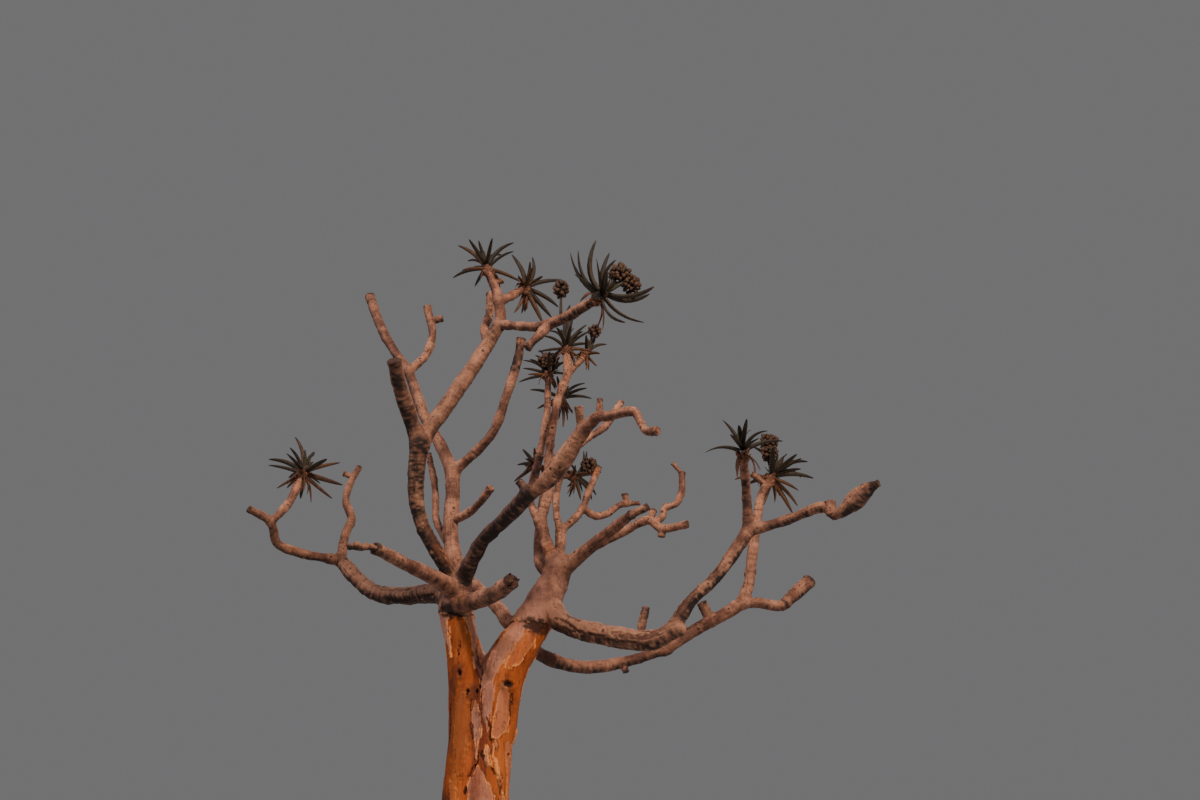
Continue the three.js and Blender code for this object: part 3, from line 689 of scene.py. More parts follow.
def settle_stem(points, name, lines, partners):
    """As settle, but a stem blends with the trunk's shaft and the other stem in one fixed order, so
    that its skin and the trunk's are the same surface, and only the other stem and boughs bury it."""
    stems = [lines[stem] for stem in STEMS]
    others = [pair for pair in partners if pair[0] not in stems]
    rival = lines[STEMS[1 - STEMS.index(name)]]
    buried_by = [(rival, TRUNK_FILLET, None, None)] + others
    return settle(points, lines[name], buried_by, Shaft(), trunk_family(lines) + others)


def trunk_family(lines):
    """The two stems as partners of the trunk, blended wherever they meet."""
    return [(lines[name], TRUNK_FILLET, lines[name].path[0], FAR) for name in STEMS]


def related(one, two, parent, lines):
    """Whether two limbs are parent and child, or spring from one place of the same parent."""
    if two == parent[one] or one == parent[two]:
        return True
    if not parent[one] or parent[one] != parent[two]:
        return False
    apart = np.linalg.norm(lines[one].path[0] - lines[two].path[0])
    return apart < lines[one].radius[0] + lines[two].radius[0]


def partners_of(lines):
    """For each limb, the limbs that it joins, with the fillet between them, their fork and its reach."""
    parent = {name: LIMBS[name].get("parent") if name in LIMBS else limb_of(name) for name in lines}
    found = {name: [] for name in lines}
    for one, two in itertools.combinations(lines, 2):
        if related(one, two, parent, lines):
            young, old = (lines[one], lines[two]) if parent[one] == two else (lines[two], lines[one])
            fillet = FILLET * float(young.radius[:ROOT_STEPS].mean())
            fork = young.path[0]
            reach = FORK_REACH * (abs(old.gap(fork[None])[0][0]) + 2 * young.radius[0])
            found[one].append((lines[two], fillet, fork, reach))
            found[two].append((lines[one], fillet, fork, reach))
    return found


def skin_grid(line, end):
    """Rings round a limb's line, point = line + radius (cos a side + sin a through), and the rings that
    close its end: shares of the last radius, each pushed on by a share of it. Returns the grid and, for
    each ring, its distance along the line."""
    around = max(LEAST_AROUND, 2 * round(math.pi * line.radius.max() / line.step))
    turn = np.arange(around) / around * TURN
    last = len(line.path) - 1
    ring = np.concatenate([np.arange(last + 1), np.full(len(end), last)])
    girth = np.concatenate([line.radius, [line.radius[-1] * size for size, _ in end]])
    ahead = np.concatenate([np.zeros(last + 1), [line.radius[-1] * push for _, push in end]])
    middle = line.path[ring] + ahead[:, None] * line.tangent[ring]
    arm = (np.cos(turn)[None, :, None] * line.side[ring][:, None]
           + np.sin(turn)[None, :, None] * line.through[ring][:, None])
    grid = middle[:, None] + girth[:, None, None] * arm
    return grid, line.walk[ring] + ahead


def closed_faces(rings, around):
    """Quads between neighbouring rings, and a fan of triangles that closes each end on its pole: the
    poles are the two points after the grid's."""
    cell = np.arange(rings * around).reshape(rings, around)
    ahead = np.roll(cell, -1, axis=1)
    quads = np.stack([cell[:-1], ahead[:-1], ahead[1:], cell[1:]], axis=-1).reshape(-1, 4)
    first = np.full(around, rings * around)
    foot = np.stack([ahead[0], cell[0], first], axis=-1)
    head = np.stack([cell[-1], ahead[-1], first + 1], axis=-1)
    return quads.tolist() + foot.tolist() + head.tolist()


def link(name, data):
    """A new object with its data, in the scene."""
    thing = bpy.data.objects.new(name, data)
    bpy.context.scene.collection.objects.link(thing)
    return thing


def add_mesh(name, points, faces, marks=None, tints=None):
    """A mesh object at the origin, smooth, with one float attribute for each mark."""
    mesh = bpy.data.meshes.new(name)
    mesh.from_pydata(points, [], faces)
    for mark, values in (marks or {}).items():
        kind, field = ("FLOAT_VECTOR", "vector") if values.ndim > 1 else ("FLOAT", "value")
        mesh.attributes.new(mark, kind, "POINT").data.foreach_set(field, values.astype(np.float32).ravel())
    if tints is not None:
        mesh.polygons.foreach_set("material_index", tints)
    mesh.shade_smooth()
    thing = link(name, mesh)
    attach(thing, "root")
    return thing


# How limbs close at their ends: each ring's share of the last radius and its push past the end
ROUND_END = [(0.98, 0.2), (0.92, 0.39), (0.83, 0.56), (0.71, 0.71), (0.56, 0.83), (0.38, 0.92),
             (0.2, 0.98)]
BLUNT_END = [(1.03, 0.14), (1.03, 0.28), (0.97, 0.38), (0.85, 0.44), (0.68, 0.42), (0.5, 0.35),
             (0.33, 0.29), (0.16, 0.27)]

# A plate of bark, in metres from its edge: how its edge strays by shards (their cell and seed), how it
# rises, and its pale lip, which curls up by a share of the rise and is partly a painted highlight, and the
# dark crevice outside it, which is painted shade
EDGES = dict(shards=((0.024, 0.024, 0.075), 301), stray=0.011, start=-0.0005, rise=0.004, lip=0.0045,
             pale=1.1, curl=0.3, crevice=0.0018, crevice_width=0.0034)
# How strongly a bough's plate edges take painted crevice shade rather than a pale lip, all over; on the
# trunk, noise tells
EVEN_EDGE_SHADE = 0.7
# The span of relief that the mask of height runs over, from 0 to 1; by this mask the bark's colours paint
# shade on low relief and highlight on high relief
HIGH_RANGE = 0.016

# Bark relief on the boughs, in metres, and masks in shares. It is whole from this far off other limbs
CLEAR_ROOM = 0.03
SWELLS = Layer(cell=0.075, seed=53, height=0.0055, octaves=2)
SWELL_FORK_SHARE = 0.4
GRAIN = Layer(cell=0.022, seed=59, height=0.0016, octaves=2)
GIRDLES = Layer(cell=0.085, seed=45, height=0.0042)
LUMPS = Layer(cell=0.036, seed=97)
RINGS = dict(spacing=0.047, bulge=0.0014, middle=0.6, groove=0.002, width=0.09, share=0.4, least=0.2,
             dark=0.8)
RING_SHIFT = Layer(cell=0.2, seed=41, height=0.55)
RING_WAVER = Layer(cell=0.03, seed=43, height=0.1)
RING_PATCHES = Layer(cell=0.075, seed=47, height=1.3)
WART = dict(levels=(0.42, 0.75), height=0.0022, dark=0.5, spread=(-0.2, 0.4))
WARTS = Layer(cell=0.016, seed=63)
DARK_WARTS = Layer(cell=0.12, seed=65)
TEARS = dict(shards=((0.02, 0.02, 0.05), 71), stray=0.006)
LEDGE = dict(share=0.2, bias=-0.12, gain=0.25, weight=1.3, depth=0.035, height=0.0065)
LEDGES = Layer(cell=(0.035, 0.035, 0.3), seed=61, octaves=2)
KNOTS = dict(every=0.085, places=(0.05, 0.95), least=0.006, spread=0.011, height=0.42, swell=1.4, pit=0.6,
             pit_depth=1.1, dark=0.9, fade=(1.0, 0.4))
PEEL = dict(bias=0.62, fade=0.04, slope=0.04, edge=0.003, depth=0.003, fresh=0.75, rim_width=0.002,
            rim_dark=0.7)
PEELS = Layer(cell=(0.03, 0.03, 0.1), seed=83, octaves=2)
LIMB_FRONTAL = (0.35, -0.1)
# Rifts: how their edges stray, how they fall and cut in, how fresh they leave the bark, and their dark rim
# and floor, painted shadow under the torn ledge and painted shade inside
RIFT = dict(shards=((0.03, 0.03, 0.02), 351), stray=0.009, fall=0.004, depth=0.007, fresh=0.3, rim=0.001,
            rim_width=0.0045, rim_dark=0.95, floor_dark=0.6)
BAND = dict(fade=0.02, share=0.85)
BAND_DEPTH = Layer(cell=0.03, seed=75, height=0.5)
STUB_TONE = (0.08, 0.2)
# Painted shade under the limbs: the levels of the way out's height over which it grows, and how dark it gets
PAINTED_UNDER_SHADE = dict(levels=(0.4, -0.75), dark=0.7)
SPOT_SHARE = 0.8
SPOTS = Layer(cell=0.05, seed=73, height=0.3)
FLOW_SPOTS = Layer(cell=(0.03, 0.03, 0.011), seed=77, height=0.4)
DEAD = dict(reach=0.05, full=-0.01, rim=0.022, rim_full=-0.012, dark=0.85)
SPLINTERS = Layer(cell=0.012, seed=67, height=0.004)
DEAD_EDGE = Layer(cell=0.025, seed=71, height=0.03)

# The trunk's plates of bark on its front, each as its age (0 fresh and golden, 1 old and grey), its
# rise in millimetres, how dark the painted shade in the crevice at its edge is and how pale its lip, partly a
# painted highlight, is, and a bent line of (right, up, half width) in millimetres
PLATES = [
    (0.0, 5, 0.3, 0.3, [(-92, 2075, 22), (-92, 1960, 44), (-84, 1840, 48), (-80, 1740, 42),
                        (-85, 1610, 30)]),
    (0.05, 4, 0.6, 0.4, [(-140, 1540, 9), (-120, 1480, 30), (-120, 1425, 39), (-130, 1300, 30)]),
    (0.14, 6, 0.15, 1.6, [(350, 2560, 66), (300, 2410, 56), (240, 2320, 50), (200, 2262, 30)]),
    (0.36, 5, 0.5, 1.0, [(172, 2135, 12), (176, 2060, 40), (165, 1960, 50), (150, 1875, 46),
                         (125, 1810, 16)]),
    (0.3, 3, 0.5, 0.6, [(200, 1770, 22), (210, 1650, 21), (210, 1525, 18), (210, 1425, 18),
                        (215, 1250, 14)]),
    (0.6, 6, 0.9, 1.0, [(30, 1620, 14), (36, 1575, 44), (40, 1505, 68), (44, 1440, 84), (45, 1330, 92),
                        (20, 1200, 60)]),
    (1.0, 6, 0.5, 1.0, [(-250, 2620, 45), (-220, 2485, 24), (-195, 2390, 12), (-180, 2315, 5)]),
    (0.95, 5, 0.5, 0.8, [(-90, 2600, 38), (-55, 2465, 26), (-20, 2340, 24), (15, 2225, 26),
                         (45, 2145, 26)]),
    (0.8, 5, 0.25, 0.4, [(290, 2640, 80), (236, 2490, 62), (178, 2380, 52), (105, 2280, 50),
                         (70, 2165, 46), (65, 2040, 42), (65, 1930, 33), (80, 1840, 5)]),
    (0.85, 6, 0.9, 1.0, [(-10, 2035, 13), (-5, 1960, 24), (10, 1860, 25), (15, 1770, 20), (20, 1670, 7)]),
    (0.6, 8, 0.9, 1.6, [(70, 1760, 5), (80, 1720, 18), (90, 1670, 16), (110, 1620, 4)]),
    (0.45, 9, 0.9, 1.6, [(120, 1805, 8), (125, 1755, 14), (120, 1695, 10), (130, 1645, 9),
                         (150, 1565, 10), (165, 1500, 10), (175, 1425, 12), (180, 1300, 8)]),
]
# The old bark that wraps the notch between the stems
CROTCH = [(55, 2430, 62), (50, 2330, 78), (60, 2240, 60)]
# Cracks as (right, up), hollows as (right, up, radius, how broad for their height), and dark stains as
# (right, up, radius): the first three, under the right stem's lip, are painted shadow, the rest stains of old
# resin
CRACKS = [
    [(-35, 2045), (-40, 2005), (-25, 1940), (-30, 1860), (-15, 1800)],
    [(15, 2055), (25, 2005), (15, 1950)],
    [(75, 1930), (100, 1870), (95, 1805), (110, 1765)],
    [(45, 1720), (75, 1670), (110, 1620), (145, 1575), (160, 1525), (155, 1465)],
    [(-55, 1475), (-40, 1540), (-10, 1620)],
    [(25, 1745), (35, 1670), (15, 1635)],
    [(-128, 2430), (-124, 2330), (-132, 2260)],
    [(-22, 2470), (-5, 2330), (22, 2200), (20, 2120)],
    [(-175, 2030), (-168, 1900), (-172, 1790)],
    [(232, 2085), (222, 2000), (212, 1900)],
]
HOLLOWS = [(-118, 2215, 22, 0.55), (-62, 2092, 19, 0.45), (0, 2100, 17, 0.4), (200, 2140, 18, 1.7),
           (205, 1710, 10, 0.8), (10, 1630, 9, 0.7)]
STAINS_AND_SHADOWS = [(265, 2530, 30), (345, 2500, 32), (410, 2530, 36), (-175, 1430, 40), (-5, 1425, 34),
          (-118, 2230, 40), (-30, 2090, 46), (190, 2120, 42), (-150, 2100, 24)]
# Patches of painted shadow and shade on the trunk's front, as (right, up, half width, half height, how dark)
PAINTED_SHADOWS = [(362, 2532, 88, 56, 0.92), (450, 2510, 50, 60, 0.8), (-180, 2628, 100, 72, 1.0),
          (-90, 2720, 90, 60, 0.7), (-35, 2500, 24, 90, 0.35), (215, 2030, 40, 130, 0.3),
          (-150, 2160, 30, 150, 0.5), (-130, 2460, 60, 120, 0.35), (-165, 1900, 34, 220, 0.4),
          (-100, 1860, 85, 330, 0.38), (60, 2195, 60, 50, 0.4), (-30, 1960, 30, 140, 0.3),
          (160, 2385, 95, 85, 0.38), (80, 2050, 34, 90, 0.25)]
# The rounded columns of the trunk's front as (right, half width, rise), in metres
COLUMNS = [(-0.085, 0.06, 0.013), (0.0, 0.03, -0.008), (0.03, 0.05, -0.006), (0.16, 0.05, 0.010)]

# Bark relief on the trunk, in metres, and masks in shares
# How strongly the trunk's plate edges take painted crevice shade rather than a pale lip, by noise
EDGE_SHADE_LEVELS = (-0.3, 0.45)
EDGE_SHADE_NOISE = Layer(cell=(0.035, 0.035, 0.08), seed=37, octaves=2)
TRUNK_FRONTAL = (0.25, -0.2)
# The levels over which the photo's plates take over from those of noise
MEASURED_RANGE = (1.12, 1.42)
MEASURED_EDGE = Layer(cell=(0.07, 0.07, 0.2), seed=31, height=0.16, octaves=2)
FINE_STRAY = Layer(cell=0.011, seed=307, height=0.004)
FOLDS = Layer(cell=(0.05, 0.05, 0.42), seed=23, height=0.009, octaves=3)
TRUNK_GRAIN = Layer(cell=0.05, seed=29, height=0.0016, octaves=2)
# Side plates as (age, rise, cell, bias, seed)
SIDE_PLATES = [(1.0, 0.006, (0.13, 0.13, 0.34), 0.12, 211), (0.45, 0.0045, (0.11, 0.11, 0.24), 0.05, 223),
               (0.2, 0.0035, (0.07, 0.07, 0.16), 0.0, 227)]
SIDE_DEPTH = 0.06
WRAP = dict(edge=0.006, above=2.12, age=0.85)
PLATE_AGE = Layer(cell=(0.016, 0.016, 0.12), seed=331, height=0.14)
# The foot of the boughs' bark: its level on the left and right stem, and how it lies, with the darkening
# above it, partly painted shade from the boughs
HEADS = dict(left=2.59, right=2.555, between=0.16, slope=0.8, rise=0.010, dark=0.06, fade=0.02)
HEAD_EDGE = Layer(cell=0.07, seed=311, height=0.045, octaves=2)
HEAD_SHADE = Layer(cell=0.05, seed=313, height=0.22, octaves=2)
SHADE_EDGE = Layer(cell=(0.03, 0.03, 0.012), seed=341, height=0.25)
SHADE_FADE = (1.15, 0.6)
CRACK = dict(stray=0.8, half_width=2.5, edge=(-0.004, 0.002), share=0.75, depth=0.012)
CRACK_EDGE = Layer(cell=(0.02, 0.02, 0.03), seed=361, height=0.0035)
CRACK_DEPTH = Layer(cell=0.04, seed=363, height=0.6)
HOLLOW = dict(stray=0.35, rim=0.006, rim_at=1.5, rim_width=0.5, depth=0.022, pit=0.87706, fade=(1.15, 0.7))
STAIN_AND_SHADOW = dict(squat=0.6, dark=0.62, fade=(1.2, 0.5))

# Rifts, where bark has come off a bough's front below a torn ledge, as (right, up, half width)
RIFTS = {
    "right_bough": [
        [(430, 2508, 20), (480, 2498, 22), (520, 2458, 22), (570, 2428, 22), (650, 2398, 22), (700, 2350, 20),
         (790, 2310, 12)],
        [(510, 2572, 5), (610, 2500, 9), (660, 2450, 11), (820, 2380, 11), (940, 2350, 9), (1030, 2312, 5)]],
    "left_sweep": [[(-330, 2745, 8), (-480, 2748, 12), (-620, 2752, 9), (-720, 2790, 4)]],
    "right_riser": [[(1245, 2440, 14), (1300, 2530, 26), (1370, 2640, 20), (1402, 2690, 6)],
                    [(1440, 2700, 6), (1500, 2770, 14), (1560, 2860, 6)]],
    "tall_bough": [[(-345, 3150, 6), (-315, 3060, 20), (-272, 2960, 28), (-222, 2860, 26), (-190, 2800, 12)],
                   [(-452, 3330, 5), (-440, 3440, 10), (-425, 3560, 5)]],
}


# How dark each limb and its stubs are at root and tip, partly the limb's own tone and partly painted shade,
# how strong its ledges and rings are, how lumpy its stubs, where it has peeled to gold, and its dark bands,
# as start and stop in shares of it and depth
TONES = {
    # The dark bough's darkness is partly painted shade of the underside that it turns to the front
    "dark_bough": dict(dark_and_shade=(0.5, 0.68), ledges=0.4),
    "elbow_bough": dict(dark_and_shade=(0.2, -0.1), ledges=0.4, bands=[(0.0, 0.12, 0.75), (0.9, 0.94, 0.7)]),
    "tall_bough": dict(dark_and_shade=(0.52, 0.65), ledges=0.7, gold=[(0.18, 0.3)]),
    "tall_stub": dict(dark_and_shade=(0.38, 0.42), bands=[(0.93, 1.1, 0.5)]),
    "tall_arm": dict(dark_and_shade=(0.18, 0.22), bands=[(0.56, 0.66, 0.75), (0.93, 0.97, 0.4)]),
    "front_arm": dict(dark_and_shade=(0.1, 0.05), ledges=0.3, stub=(0.45, 0.6), lumps=0.014),
    "broken_arm": dict(dark_and_shade=(0.0, 0.15), ledges=0.3, rings=0.1, bands=[(0.0, 0.12, 0.5)]),
    "crown_arm": dict(dark_and_shade=(0.15, 0.3), bands=[(0.4, 0.45, 0.6)]),
    "right_bough": dict(dark_and_shade=(0.2, 0.35), ledges=1.0, stub=(0.5, 0.7)),
    "left_sweep": dict(dark_and_shade=(0.6, 0.42), ledges=0.9),
    "right_riser": dict(dark_and_shade=(0.68, 0.38), ledges=0.6),
    "low_bough": dict(dark_and_shade=(0.35, 0.15)),
    "low_rise": dict(dark_and_shade=(-0.2, -0.15), stub=(0.1, 0.4)),
    "cross_bough": dict(dark_and_shade=(-0.15, -0.1)),
    "fan_bough": dict(dark_and_shade=(-0.1, -0.05)),
    "near_shaft": dict(gold=[(0.3, 0.5)], rings=0.9),
    "left_shaft": dict(gold=[(0.1, 0.2)], rings=0.9),
    "right_shaft": dict(rings=0.9, gold=[(0.46, 0.54)], bands=[(0.54, 0.56, 0.6)]),
    "right_post": dict(dark_and_shade=(0.42, 0.3), rings=1.0),
    "low_post": dict(rings=1.0, bands=[(0.2, 0.24, 0.6)]),
    "crown_rear": dict(rings=1.0),
    "rear_right": dict(rings=0.8, bands=[(0.28, 0.38, 0.5), (0.76, 0.97, 0.85)]),
    "rear_left_tip": dict(dark_and_shade=(0.25, 0.5), bands=[(0.9, 1.1, 0.45)]),
    "rear_left_twig": dict(bands=[(0.88, 1.1, 0.35)]),
    "right_stem": dict(dark_and_shade=(0.3, 0.2)),
    "right_tip": dict(dark_and_shade=(0.25, 0.42), bands=[(0.4, 0.47, 0.3), (0.95, 1.1, 0.8)]),
    "low_tip": dict(dark_and_shade=(0.0, 0.3), bands=[(0.49, 0.54, 1.0)]),
    "left_reach": dict(dark_and_shade=(0.2, 0.2)),
    "sweep_spur": dict(dark_and_shade=(0.2, 0.25)),
    "rear_left": dict(dark_and_shade=(0.05, 0.2)),
    "mid_arm": dict(gold=[(0.8, 0.95)]),
    "hooked_arm": dict(dark_and_shade=(0.05, 0.1)),
    "rear_shaft": dict(dark_and_shade=(0.1, 0.1), rings=0.8),
}


def inside(points, route):
    """How far points lie inside the edge of a bent strip in the front view, in metres, negative beyond
    it: the strip's half width there less the distance from its middle line."""
    best = np.full(len(points), -FAR)
    route = np.asarray(route, float) * MM
    flat = points[:, [0, 2]]
    for start, stop in zip(route[:-1], route[1:]):
        run = stop[:2] - start[:2]
        share = np.clip((flat - start[:2]) @ run / (run @ run), 0, 1)
        away = np.linalg.norm(flat - start[:2] - share[:, None] * run, axis=1)
        best = np.maximum(best, start[2] + share * (stop[2] - start[2]) - away)
    return best


class Relief:
    """Height and masks gathered over a skin: age of the bark, darkness, part of it painted shade, and pale
    lips, partly painted highlight.
    """

    def __init__(self, count, edge_shade=EVEN_EDGE_SHADE):
        self.height, self.outer, self.dark, self.lip = np.zeros((4, count))
        self.edge_shade = edge_shade

    def darken(self, value):
        """Keeps the darker of the mask and a value."""
        self.dark = np.maximum(self.dark, value)

    def plate(self, deep, weight, age, rise, edge=1.0, pale=1.0):
        """Lays a plate where deep, in metres inside its edge, is above zero: a steep rise, a pale lip just
        inside the edge, partly a painted highlight, and a dark line just outside it, painted shade in the
        crevice, both strong in some places only."""
        on = smoothstep(EDGES["start"], EDGES["rise"], deep) * weight
        # the pale lip, partly a painted highlight on the curled edge
        lip = bell(deep - EDGES["lip"], EDGES["lip"]) * weight * (EDGES["pale"] - self.edge_shade) * pale
        self.height += on * rise + lip * rise * EDGES["curl"]
        self.outer += (age - self.outer) * on
        self.lip = np.maximum(self.lip * (1 - on), lip)
        # painted shade in the crevice just outside the plate's edge
        crevice = bell(deep + EDGES["crevice"], EDGES["crevice_width"]) * weight * self.edge_shade * edge
        self.dark = np.maximum(self.dark * (1 - on), crevice)

    def rift(self, deep, weight):
        """Cuts bark away where deep, in metres inside the rift's edge, is above zero, with painted shadow
        under the ledge along its rim and painted shade on its floor.
        """
        on = smoothstep(0, RIFT["fall"], deep) * weight
        self.height -= on * RIFT["depth"]
        self.outer -= on * RIFT["fresh"]
        self.darken(bell(deep - RIFT["rim"], RIFT["rim_width"]) * weight * RIFT["rim_dark"])
        self.darken(on * RIFT["floor_dark"])

    def marks(self):
        """The masks that the bark's material reads."""
        high = np.clip(0.5 + self.height / HIGH_RANGE, 0, 1)
        return dict(outer=self.outer, dark=np.clip(self.dark, 0, 1), lip=np.clip(self.lip, 0, 1), high=high)


def trunk_relief(points, way):
    """The trunk's relief: folds and side plates of noise and, on the front, what the photo shows, with
    edges that stray by shards."""
    relief = Relief(len(points), smoothstep(*EDGE_SHADE_LEVELS, EDGE_SHADE_NOISE.over(points)))
    front = smoothstep(*TRUNK_FRONTAL, way[:, 1])
    measured = front * smoothstep(*MEASURED_RANGE, points[:, 2] + MEASURED_EDGE.over(points))
    stray = shards(points, *EDGES["shards"]) * EDGES["stray"]
    fine = np.stack([FINE_STRAY.over(points, axis) for axis in range(3)], axis=1)
    torn = points + stray + fine
    lay_folds(relief, points, measured)
    lay_side_plates(relief, points, torn, measured)
    lay_front_plates(relief, points, torn, measured)
    lay_head(relief, points, torn)
    lay_painted_shadows(relief, points, torn, front)
    lay_cracks(relief, points, points + stray * CRACK["stray"] + fine, front)
    lay_hollows(relief, points + stray * HOLLOW["stray"] + fine, front)
    lay_stains_and_shadows(relief, torn, front)
    return relief


def lay_folds(relief, points, measured):
    """Long folds, fine unevenness and the rounded columns of the front."""
    relief.height += FOLDS.over(points) + TRUNK_GRAIN.over(points)
    for right, width, rise in COLUMNS:
        relief.height += measured * rise * bell(points[:, 0] - right, width)


def lay_side_plates(relief, points, torn, measured):
    """Plates in three ages where drawn-out noise is above a level, the youngest first, and the old bark
    that wraps the notch."""
    for age, rise, cell, bias, seed in SIDE_PLATES[::-1]:
        value = fractal(torn, cell, seed) + bias - measured * 2
        relief.plate(value * SIDE_DEPTH, np.ones(len(points)), age, rise)
    wrap = smoothstep(0, WRAP["edge"], inside(torn, CROTCH)) * (points[:, 2] > WRAP["above"])
    relief.outer += (WRAP["age"] - relief.outer) * wrap
    relief.dark *= 1 - wrap


def lay_front_plates(relief, points, torn, measured):
    """The plates that the photo shows, their age a little uneven."""
    uneven = PLATE_AGE.over(points)
    for age, rise, edge, pale, route in PLATES:
        relief.plate(inside(torn, route), measured, age + uneven, rise * MM, edge, pale)


def lay_head(relief, points, torn):
    """The ragged foot of the boughs' bark, above which the stems are all old bark, darkened there partly by
    painted shade from the boughs above.
    """
    right = smoothstep(0.0, HEADS["between"], points[:, 0])
    foot = HEADS["left"] + (HEADS["right"] - HEADS["left"]) * right + HEAD_EDGE.over(torn)
    relief.plate((torn[:, 2] - foot) * HEADS["slope"], np.ones(len(points)), 1.0, HEADS["rise"])
    shade = HEADS["dark"] + HEAD_SHADE.over(torn)
    relief.darken(smoothstep(0.0, HEADS["fade"], torn[:, 2] - foot) * shade)
    relief.outer = np.clip(relief.outer, 0, 1)


def lay_painted_shadows(relief, points, torn, front):
    """Oval patches of painted shadow and shade with uneven edges."""
    uneven = SHADE_EDGE.over(points)
    for right, up, width, tall, deep in PAINTED_SHADOWS:
        away = np.hypot((torn[:, 0] - right * MM) / (width * MM), (torn[:, 2] - up * MM) / (tall * MM))
        relief.darken(deep * front * smoothstep(*SHADE_FADE, away + uneven))


def lay_cracks(relief, points, bent, front):
    """Cracks: narrow cuts along their routes, deeper in some places than in others, darkened with painted
    shade inside.
    """
    depth = np.clip(CRACK["share"] + CRACK_DEPTH.over(points), 0, 1)
    for crack in CRACKS:
        deep = inside(bent, [(right, up, CRACK["half_width"]) for right, up in crack])
        cut = smoothstep(*CRACK["edge"], deep + CRACK_EDGE.over(points)) * front * depth
        relief.height -= cut * CRACK["depth"]
        # painted shade inside the crack
        relief.darken(cut)


def lay_hollows(relief, bent, front):
    """Hollows where a twig died: a pit in a low rim, darkened with painted shade inside."""
    for right, up, size, broad in HOLLOWS:
        away = np.hypot((bent[:, 0] - right * MM) / broad, bent[:, 2] - up * MM) / (size * MM)
        rim = HOLLOW["rim"] * bell(away - HOLLOW["rim_at"], HOLLOW["rim_width"])
        relief.height += front * (rim - HOLLOW["depth"] * bell(away, HOLLOW["pit"]))
        # painted shade in the pit
        relief.darken(front * smoothstep(*HOLLOW["fade"], away))


def lay_stains_and_shadows(relief, torn, front):
    """Dark stains, taller than wide, on fresh bark only: painted shadow under the right stem's lip, and
    stains of old resin elsewhere.
    """
    for right, up, size in STAINS_AND_SHADOWS:
        away = np.hypot(torn[:, 0] - right * MM, (torn[:, 2] - up * MM) * STAIN_AND_SHADOW["squat"]) / (size * MM)
        relief.darken(STAIN_AND_SHADOW["dark"] * front * smoothstep(*STAIN_AND_SHADOW["fade"], away) * (1 - relief.outer))


class Tube:
    """A limb's tube before its relief. For each point it has the distance along the line, what is left
    of the line, the share of it, the turn round it and the radius; flow is its place unrolled, as
    (radius cos turn, radius sin turn, distance)."""

    def __init__(self, name, lines):
        self.name = name
        self.limb = limb_of(name)
        self.index = list(LIMBS).index(self.limb)
        self.line = lines[name]
        self.tone = TONES.get(self.limb, {})
        self.stub = name not in LIMBS
        forks = any(limb.get("parent") == name and limb["at"] > FORK_AT for limb in LIMBS.values())
        self.closes = name in FOLIAGE_ENDS or name.endswith("rosette")
        self.dead = not forks and not self.closes
        grid, walk = skin_grid(self.line, BLUNT_END if self.dead else ROUND_END)
        self.rings, self.around = grid.shape[:2]
        self.points = grid.reshape(-1, 3)
        self.unroll(np.repeat(walk, self.around))

    def unroll(self, walk):
        """Works out every point's place on the unrolled tube from its distance along the line."""
        start, stop = self.line.walk[0], self.line.walk[-1]
        self.length = stop - start
        self.walk = walk
        self.left = stop - walk
        self.share = np.clip((walk - start) / self.length, 0, 1)
        self.turn = np.tile(np.arange(self.around) / self.around * TURN, self.rings)
        self.radius = np.interp(walk, self.line.walk, self.line.radius)
        self.flow = np.stack([self.radius * np.cos(self.turn), self.radius * np.sin(self.turn), walk], axis=1)

    def settle(self, lines, partners):
        """Settles the tube on its partners and finds how clear of them each point is."""
        if self.name in STEMS:
            found = settle_stem(self.points, self.name, lines, partners)
        else:
            found = settle(self.points, self.line, partners, self.line, partners)
        self.points, self.way, self.free, room = found
        self.clear = smoothstep(0.0, CLEAR_ROOM, room)


def limb_relief(tube, dice):
    """A bough's relief, laid layer by layer."""
    relief = Relief(len(tube.points))
    relief.outer[:] = 1
    torn = tube.flow + shards(tube.flow, *TEARS["shards"]) * TEARS["stray"]
    lay_swells(relief, tube)
    lay_rings(relief, tube)
    lay_warts(relief, tube)
    lay_ledges(relief, tube, torn)
    lay_knots(relief, tube, dice)
    lay_peels(relief, tube, torn)
    lay_rifts(relief, tube)
    lay_bands(relief, tube)
    lay_dark_and_shade(relief, tube)
    if tube.dead:
        lay_break(relief, tube)
    return relief


def lay_swells(relief, tube):
    """Swells, grain, a girth that changes along the limb, and lumps on some stubs."""
    relief.height += SWELLS.over(tube.points) * (SWELL_FORK_SHARE + (1 - SWELL_FORK_SHARE) * tube.clear)
    relief.height += GRAIN.over(tube.points)
    level = 0 * tube.walk
    relief.height += GIRDLES.over(np.stack([tube.walk, level + tube.index, level], axis=1)) * tube.clear
    if tube.stub:
        relief.height += tube.tone.get("lumps", 0) * LUMPS.over(tube.points)


def lay_rings(relief, tube):
    """Scar rings: bulges sin(pi phase) with grooves between them, strong in some places, at distances
    that noise makes uneven."""
    shift = RING_SHIFT.over(tube.points) + RING_WAVER.over(tube.points)
    phase = (tube.walk / RINGS["spacing"] + shift) % 1
    rings = tube.tone.get("rings", RINGS["share"])
    patches = np.clip(RINGS["least"] + RING_PATCHES.over(tube.points), 0, 1)
    groove = bell(np.minimum(phase, 1 - phase), RINGS["width"]) * tube.clear * patches * rings
    bulge = (np.sin(math.pi * phase) - RINGS["middle"]) * RINGS["bulge"] * tube.clear * rings
    relief.height += bulge - groove * RINGS["groove"]
    relief.darken(groove * RINGS["dark"])


